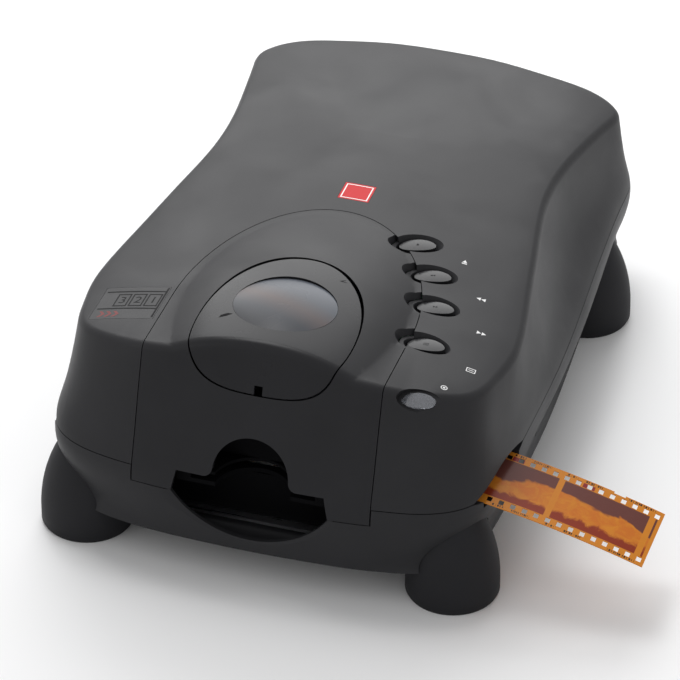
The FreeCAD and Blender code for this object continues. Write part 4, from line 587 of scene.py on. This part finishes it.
class Kit:
    """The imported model: its nodes, bodies and slots, with helpers that make dressed pieces."""

    def __init__(self, frame: dict) -> None:
        """Reads the frame.
        """
        self.frame = frame
        record = frame["record"]
        self.body_of = {n: b for b, nodes in record["behaviour"]["bodies"].items() for n in nodes}
        self.slot_of = {s["node"]: s["material_slot"] for s in record["subparts"]}
        self.materials: dict[str, bpy.types.Material] = {}

    def finish(self, finish: Finish) -> bpy.types.Material:
        """The material of a finish, made once.

        Args:
            finish: The finish.

        Returns:
            Its material.
        """
        if finish.name not in self.materials:
            self.materials[finish.name] = finish.material()
        return self.materials[finish.name]

    def dress_nodes(self) -> None:
        """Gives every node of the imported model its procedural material."""
        for name, node in self.frame["nodes"].items():
            material = self.finish(SLOT_FINISHES[self.slot_of[name]])
            node.data.materials.clear()
            node.data.materials.append(material)

    def add(self, name: str, mesh: bmesh.types.BMesh, material: bpy.types.Material, body: str, slot: str,
            stands_for: tuple[str, ...] = ()) -> bpy.types.Object:
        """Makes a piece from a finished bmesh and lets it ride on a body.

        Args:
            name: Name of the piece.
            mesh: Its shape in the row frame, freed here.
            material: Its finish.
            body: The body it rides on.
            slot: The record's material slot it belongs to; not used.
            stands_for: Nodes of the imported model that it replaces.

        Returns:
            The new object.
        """
        data = bpy.data.meshes.new(name)
        mesh.to_mesh(data)
        mesh.free()
        data.materials.append(material)
        piece = bpy.data.objects.new(name, data)
        bpy.context.scene.collection.objects.link(piece)
        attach(piece, body)
        if stands_for:
            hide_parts(*stands_for)
        LOG.info("%s: %d faces on %s", name, len(data.polygons), body)
        return piece

    def merged(self, node: str, crease_degrees: float = 28.0) -> bmesh.types.BMesh:
        """A merged copy of a node's mesh with smooth faces and marked creases.

        Args:
            node: Name of the node.
            crease_degrees: Edges that turn more than this stay sharp.

        Returns:
            The bmesh in the row frame.
        """
        mesh = bmesh.new()
        mesh.from_mesh(self.frame["nodes"][node].data)
        bmesh.ops.remove_doubles(mesh, verts=mesh.verts, dist=WELD_DISTANCE)
        bmesh.ops.dissolve_degenerate(mesh, dist=SPECK_DISTANCE, edges=mesh.edges)
        limit = math.radians(crease_degrees)
        for face in mesh.faces:
            face.smooth = True
            face.material_index = 0
        for edge in mesh.edges:
            edge.smooth = len(edge.link_faces) == 2 and edge.calc_face_angle(0.0) < limit
        return mesh

    def smooth(self, node: str, finish: Finish, crease_degrees: float = 28.0) -> bpy.types.Object:
        """Replaces a node by a merged copy with smooth shading.

        Args:
            node: Name of the node.
            finish: Finish of the copy.
            crease_degrees: Edges that turn more than this stay sharp.

        Returns:
            The new object.
        """
        mesh = self.merged(node, crease_degrees)
        return self.add(node + "_skin", mesh, self.finish(finish), self.body_of[node], self.slot_of[node],
                        (node,))

    def tree(self, *nodes: str) -> BVHTree:
        """A search tree of the named nodes' surfaces.

        Args:
            nodes: Names of nodes.

        Returns:
            The tree.
        """
        mesh = bmesh.new()
        for node in nodes:
            mesh.from_mesh(self.frame["nodes"][node].data)
        tree = BVHTree.FromBMesh(mesh)
        mesh.free()
        return tree


def drop(mesh: bmesh.types.BMesh, tree: BVHTree, lift: float) -> None:
    """Lowers a flat drawing onto a surface, each vertex by itself, and leaves it a little proud.

    Args:
        mesh: The drawing, whose x and y are already in the row frame.
        tree: The surface.
        lift: How far above the surface it lies, in metres.
    """
    down = Vector((0.0, 0.0, -1.0))
    for vert in mesh.verts:
        spot, normal, _, _ = tree.ray_cast(Vector((vert.co.x, vert.co.y, ABOVE_ALL)), down)
        if spot is not None:
            vert.co = spot + normal * (lift if normal.z > 0 else -lift)


def flat_shape(mesh: bmesh.types.BMesh, corners: list[Place], cuts: int = 2) -> None:
    """Adds a flat polygon, divided so that it can follow a curved surface.

    Args:
        mesh: Where it goes.
        corners: Its corners in order, in metres.
        cuts: How often its edges are divided.
    """
    verts = [mesh.verts.new((x, y, 0.0)) for x, y in corners]
    face = mesh.faces.new(verts)
    bmesh.ops.recalc_face_normals(mesh, faces=[face])
    if cuts:
        bmesh.ops.subdivide_edges(mesh, edges=list(face.edges), cuts=cuts, use_grid_fill=True)


def turned(points: list[Place], degrees: float, centre: Place, size: float = 1.0) -> list[Place]:
    """Turns, scales and moves flat points.

    Args:
        points: The points about zero.
        degrees: Turn about the vertical.
        centre: Where zero goes.
        size: Scale.

    Returns:
        The moved points.
    """
    turn = math.radians(degrees)
    cos, sin = math.cos(turn), math.sin(turn)
    return [(centre[0] + size * (x * cos - y * sin), centre[1] + size * (x * sin + y * cos))
            for x, y in points]


def ring(mesh: bmesh.types.BMesh, centre: Place, outer: float, inner: float, steps: int = 24) -> None:
    """Adds a flat ring of quads.

    Args:
        mesh: Where it goes.
        centre: Its centre.
        outer: Outer radius in metres.
        inner: Inner radius in metres.
        steps: How many quads.
    """
    loops = []
    for radius in (outer, inner):
        made = bmesh.ops.create_circle(mesh, segments=steps, radius=radius)["verts"]
        bmesh.ops.translate(mesh, verts=made, vec=(centre[0], centre[1], 0.0))
        loops.append(made)
    edges = [e for e in mesh.edges if e.is_valid and not e.link_faces
             and (e.verts[0] in loops[0] or e.verts[0] in loops[1])]
    bmesh.ops.bridge_loops(mesh, edges=edges)


# Sub-assemblies


@dataclass
class Casing:
    """Upper and lower shells with the front fascia."""

    kit: Kit
    crease_degrees: float = 26.0

    def build(self) -> None:
        """Puts smooth skins over the three mouldings."""
        self.kit.smooth("upper_casing", CHARCOAL, self.crease_degrees)
        self.kit.smooth("lower_casing", CHARCOAL, self.crease_degrees)
        self.kit.smooth("front_fascia", FASCIA, self.crease_degrees)


@dataclass
class RoundCover:
    """Hinged cover with its smoked window and two printed marks."""

    kit: Kit
    marks: tuple[tuple[float, float, float], ...] = ((-20.3, -93.9, 205.0), (17.4, -58.8, 25.0))
    mark_length: float = 5.6
    mark_width: float = 2.3

    def build(self) -> None:
        """Dresses the cover and its window, and prints the marks."""
        self.kit.smooth("round_cover", COVER, 24.0)
        self.kit.smooth("cover_window", Window(), 30.0)
        mesh = bmesh.new()
        half, wide = self.mark_length / 2, self.mark_width / 2
        leaf = [(-half, 0.0), (-half * 0.3, -wide), (half * 0.6, -wide * 0.9), (half, wide * 0.2),
                (0.0, wide * 0.5)]
        for x, y, degrees in self.marks:
            flat_shape(mesh, turned([(a * MM, b * MM) for a, b in leaf], degrees, (x * MM, y * MM)), 1)
        drop(mesh, self.kit.tree("round_cover"), PRINT_LIFT)
        self.kit.add("cover_marks", mesh, self.kit.finish(DARK_PRINT), "cover", "gloss_shell")


@dataclass
class Pictogram:
    """A small printed sign: triangles, a bar, a frame or a ring."""

    name: str
    spot: Place
    tilt: float
    size: float = 1.0
    turns: tuple[Turn, ...] = ()
    bar: bool = False
    frame: bool = False
    circle: bool = False

    def draw(self, mesh: bmesh.types.BMesh) -> None:
        """Draws the sign flat at its place.

        Args:
            mesh: Where it goes.
        """
        centre = (self.spot[0] * MM, self.spot[1] * MM)
        size = self.size * MM
        arrow = [(-0.75, -0.85), (0.75, 0.0), (-0.75, 0.85)]
        pitch = 1.7
        for index, turn in enumerate(self.turns):
            offset = (index - (len(self.turns) - 1) / 2) * pitch
            lift = 0.35 if self.bar else 0.0
            points = [(x + offset, y + lift) for x, y in turned(arrow, turn.value, (0.0, 0.0))]
            flat_shape(mesh, turned(points, self.tilt, centre, size), 1)
        if self.bar:
            points = [(-0.9, -1.15), (0.9, -1.15), (0.9, -0.7), (-0.9, -0.7)]
            flat_shape(mesh, turned(points, self.tilt, centre, size), 1)
        if self.frame:
            for x0, x1, y0, y1 in ((-1.6, 1.6, 0.8, 1.1), (-1.6, 1.6, -1.1, -0.8), (-1.6, -1.3, -0.8, 0.8),
                                   (1.3, 1.6, -0.8, 0.8), (-0.9, 0.9, -0.15, 0.15)):
                points = [(x0, y0), (x1, y0), (x1, y1), (x0, y1)]
                flat_shape(mesh, turned(points, self.tilt, centre, size), 1)
        if self.circle:
            ring(mesh, centre, 1.15 * size, 0.85 * size)
            ring(mesh, centre, 0.45 * size, 0.05 * size)


@dataclass
class KeyRow:
    """Four oval keys, the status lens and the printed signs beside them."""

    kit: Kit
    keys: tuple[str, ...] = ("eject", "reverse", "forward", "scan")
    key_spots: tuple[tuple[float, float, float], ...] = (
        (33.0, -15.3, 19.0), (44.3, -31.9, 12.0), (51.1, -50.7, 6.5), (54.7, -75.1, 3.0),
    )
    sign_tilt: float = 4.0
    sign_size: float = 1.15
    key_sign_size: float = 0.62

    def signs(self) -> list[Pictogram]:
        """The five signs printed on the casing.

        Returns:
            The signs from the rear to the front.
        """
        tilt, size = self.sign_tilt, self.sign_size
        return [
            Pictogram("eject", (53.2, -17.8), tilt, size, (Turn.UP,), bar=True),
            Pictogram("reverse", (65.5, -36.9), tilt, size, (Turn.LEFT, Turn.LEFT)),
            Pictogram("forward", (71.7, -57.2), tilt, size, (Turn.RIGHT, Turn.RIGHT)),
            Pictogram("scan", (74.6, -81.3), tilt, size, frame=True),
            Pictogram("status", (68.7, -97.4), tilt, size, circle=True),
        ]

    def build(self) -> None:
        """Dresses the keys and the lens and prints the signs."""
        for name, sign, (x, y, turn) in zip(self.keys, self.signs(), self.key_spots):
            node = name + "_key"
            self.kit.smooth(node, KEY_BLACK, 32.0)
            mesh = bmesh.new()
            small = Pictogram(name, (x, y), turn, self.key_sign_size, sign.turns, sign.bar, sign.frame)
            small.draw(mesh)
            drop(mesh, self.kit.tree(node), KEY_PRINT_LIFT)
            self.kit.add(name + "_key_sign", mesh, self.kit.finish(DARK_PRINT), self.kit.body_of[node],
                         "key_plastic")
        mesh = bmesh.new()
        for sign in self.signs():
            sign.draw(mesh)
        drop(mesh, self.kit.tree("upper_casing"), PRINT_LIFT)
        self.kit.add("casing_signs", mesh, self.kit.finish(WHITE_PRINT), "scanner", "charcoal_shell")
        self.kit.smooth("status_lens", SLOT_FINISHES["clear_lens"], 30.0)


@dataclass
class FilmLabel:
    """Label that shows how film goes in: a strip with numbered frames and red chevrons."""

    kit: Kit
    corners: tuple[Place, ...] = ((-77.3, -70.5), (-50.7, -70.5), (-50.7, -93.1), (-77.3, -93.1))
    digit_size: float = 6.4

    def spot(self, across: float, down: float) -> Place:
        """A place on the label.

        Args:
            across: Share of its width from the left.
            down: Share of its length from the rear edge.

        Returns:
            The place in metres.
        """
        left, top = self.corners[0]
        right, low = self.corners[2]
        return ((left + (right - left) * across) * MM, (top + (low - top) * down) * MM)

    def bar(self, mesh: bmesh.types.BMesh, u0: float, v0: float, u1: float, v1: float) -> None:
        """Adds an upright rectangle between two places of the label.

        Args:
            mesh: Where it goes.
            u0: Share of the label's width at its left.
            v0: Share of the label's length at its rear.
            u1: Share of the label's width at its right.
            v1: Share of the label's length at its front.
        """
        a, b = self.spot(u0, v0), self.spot(u1, v1)
        flat_shape(mesh, [a, (b[0], a[1]), b, (a[0], b[1])], 3)

    def digits(self, mesh: bmesh.types.BMesh) -> None:
        """Adds the frame numbers as flat letter shapes.

        Args:
            mesh: Where they go.
        """
        for text, across in (("3", 0.36), ("2", 0.60), ("1", 0.84)):
            curve = bpy.data.curves.new("frame_number", "FONT")
            curve.body = text
            curve.size = self.digit_size * MM
            curve.align_x = "CENTER"
            curve.align_y = "CENTER"
            letter = bpy.data.objects.new("frame_number", curve)
            flat = bpy.data.meshes.new_from_object(letter)
            x, y = self.spot(across, 0.42)
            flat.transform(Matrix.Translation((x, y, 0.0)))
            mesh.from_mesh(flat)
            bpy.data.objects.remove(letter)
            bpy.data.curves.remove(curve)
            bpy.data.meshes.remove(flat)

    def build(self) -> None:
        """Dresses the label plate and prints on it."""
        self.kit.smooth("film_label", LABEL_GREY, 30.0)
        surface = self.kit.tree("film_label")
        mesh = bmesh.new()
        for u0, v0, u1, v1 in ((0.04, 0.12, 0.97, 0.16), (0.04, 0.66, 0.97, 0.70),
                               (0.955, 0.02, 0.985, 0.96)):
            self.bar(mesh, u0, v0, u1, v1)
        for left in (0.25, 0.49, 0.73):
            for u0, v0, u1, v1 in ((0, 0.22, 0.21, 0.25), (0, 0.58, 0.21, 0.61), (0, 0.22, 0.02, 0.61),
                                   (0.19, 0.22, 0.21, 0.61)):
                self.bar(mesh, left + u0, v0, left + u1, v1)
        self.digits(mesh)
        bmesh.ops.triangulate(mesh, faces=mesh.faces)
        drop(mesh, surface, PRINT_LIFT)
        self.kit.add("label_lines", mesh, self.kit.finish(GREY_PRINT), "scanner", "dark_label")
        mesh = bmesh.new()
        for index in range(3):
            u = 0.10 + index * 0.11
            points = [(u, 0.76), (u + 0.05, 0.76), (u + 0.11, 0.85), (u + 0.05, 0.94), (u, 0.94),
                      (u + 0.06, 0.85)]
            flat_shape(mesh, [self.spot(a, b) for a, b in points], 0)
        bmesh.ops.triangulate(mesh, faces=mesh.faces)
        drop(mesh, surface, PRINT_LIFT)
        self.kit.add("label_chevrons", mesh, self.kit.finish(RED_PRINT), "scanner", "dark_label")


@dataclass
class Underparts:
    """Feet and the screws below them."""

    kit: Kit

    def build(self) -> None:
        """Puts smooth skins over the feet and screws."""
        self.kit.smooth("feet", RUBBER, 30.0)
        self.kit.smooth("foot_screws", SLOT_FINISHES["screw_steel"], 30.0)
        self.kit.smooth("casing_screws", SLOT_FINISHES["screw_steel"], 30.0)


@dataclass
class Works:
    """Smooth skins for film, rollers, film guides, lens, motor, power parts, capacitors, badge plate and
    hinge pin; the slide tray and gears keep their plain dressing.
    """

    kit: Kit
    round_nodes: tuple[str, ...] = (
        "drive_roller_left", "drive_roller_right", "drive_tyres_left", "drive_tyres_right",
        "pinch_roller_left", "pinch_roller_right", "lower_film_guide", "upper_film_guide",
        "lens_barrel", "lens_glasses", "stepper_motor", "power_inlet",
        "board_capacitors", "power_rocker", "badge_plate", "film_strip", "cover_hinge_pin",
    )

    def build(self) -> None:
        """Puts smooth skins over the turned and curved pieces."""
        for node in self.round_nodes:
            self.kit.smooth(node, SLOT_FINISHES[self.kit.slot_of[node]], 30.0)


@dataclass
class Studio:
    """White surroundings, pale floor, soft lamps and the camera at the photo's angle."""

    camera_spot: tuple[float, float, float] = (0.5019, -1.5805, 1.2065)
    right: tuple[float, float, float] = (0.9524, 0.3049, 0.0)
    up: tuple[float, float, float] = (-0.1764, 0.5509, 0.8158)
    forward: tuple[float, float, float] = (-0.2488, 0.7770, -0.5784)
    lens: float = 264.7
    floor_colour: Colour = (0.94, 0.94, 0.945)
    floor_half_side: float = 6.0
    aim: tuple[float, float, float] = (0.0, -0.02, 0.06)
    sky_level: float = 0.55

    def camera(self) -> None:
        """Makes the camera."""
        data = bpy.data.cameras.new("photo_camera")
        data.sensor_width = 36.0
        data.lens = self.lens
        data.clip_end = 20.0
        camera = bpy.data.objects.new("photo_camera", data)
        axes = Matrix((self.right, self.up, [-a for a in self.forward])).transposed()
        camera.matrix_world = Matrix.Translation(self.camera_spot) @ axes.to_4x4()
        bpy.context.scene.collection.objects.link(camera)
        bpy.context.scene.camera = camera

    def seen(self, shader: Shader) -> bpy.types.NodeSocket:
        """One for rays that come straight from the camera, a reflection or through glass.

        Args:
            shader: Helper of the world's tree.

        Returns:
            The output socket.
        """
        path = shader.add("LightPath").outputs
        first = shader.maths("MAXIMUM", path["Is Camera Ray"], path["Is Glossy Ray"])
        return shader.maths("MAXIMUM", first, path["Is Transmission Ray"])

    def world(self) -> None:
        """Makes the world: white where it is seen, dimmer as a light."""
        world = bpy.data.worlds.new("studio_white")
        bpy.context.scene.world = world
        world.use_nodes = True
        shader = Shader(world.node_tree)
        out = next(n for n in world.node_tree.nodes if n.type == "OUTPUT_WORLD")
        lit = next(n for n in world.node_tree.nodes if n.type == "BACKGROUND")
        lit.inputs["Color"].default_value = (1.0, 1.0, 1.0, 1.0)
        lit.inputs["Strength"].default_value = self.sky_level
        white = shader.add("Background", Color=(1.0, 1.0, 1.0), Strength=1.0)
        mixed = shader.add("MixShader", pin0=self.seen(shader), pin1=lit.outputs[0], pin2=white.outputs[0])
        shader.feed(out.inputs["Surface"], mixed.outputs[0])

    def floor(self) -> None:
        """Makes the pale floor, which turns white away from the object's shadow."""
        mesh = bmesh.new()
        bmesh.ops.create_grid(mesh, x_segments=2, y_segments=2, size=self.floor_half_side)
        data = bpy.data.meshes.new("floor")
        mesh.to_mesh(data)
        mesh.free()
        floor = bpy.data.objects.new("floor", data)
        bpy.context.scene.collection.objects.link(floor)
        material, shader, body = new_material("floor_pale")
        grain = shader.add("TexNoise", Vector=shader.add("TexCoord").outputs["Object"], Scale=4.0, Detail=2.0)
        dim = tuple(c * 0.985 for c in self.floor_colour)
        shader.feed(body.inputs["Base Color"], shader.blend(grain.outputs[0], dim, self.floor_colour))
        body.inputs["Roughness"].default_value = 0.7
        body.inputs["Specular IOR Level"].default_value = 0.1
        data.materials.append(material)

    def lamp(self, name: str, spot: tuple[float, float, float], size: float, watts: float) -> None:
        """Adds a square soft lamp that faces the object.

        Args:
            name: Its name.
            spot: Its place in metres.
            size: Side in metres.
            watts: Its power.
        """
        data = bpy.data.lights.new(name, "AREA")
        data.size = size
        data.energy = watts
        lamp = bpy.data.objects.new(name, data)
        lamp.location = spot
        towards = Vector(self.aim) - Vector(spot)
        lamp.rotation_euler = towards.to_track_quat("-Z", "Y").to_euler()
        bpy.context.scene.collection.objects.link(lamp)

    def build(self) -> None:
        """Makes the whole studio."""
        scene = bpy.context.scene
        scene.view_settings.view_transform = "Standard"
        self.camera()
        self.world()
        self.floor()
        self.lamp("rear_lamp", (-0.4, 1.25, 1.0), 1.3, 18.0)
        self.lamp("top_lamp", (-0.4, 0.35, 1.55), 0.6, 8.0)
        self.lamp("fill_lamp", (-1.3, -1.1, 0.9), 1.0, 1.5)


def main() -> None:
    """Builds every sub-assembly in order."""
    logging.basicConfig(level=logging.INFO)
    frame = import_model()
    GROUPS.build()
    kit = Kit(frame)
    kit.dress_nodes()
    for part in (Casing(kit), RoundCover(kit), KeyRow(kit), FilmLabel(kit), Underparts(kit), Works(kit)):
        part.build()
        LOG.info("built %s", type(part).__name__)
    Studio().build()


if __name__ == "__main__":
    main()
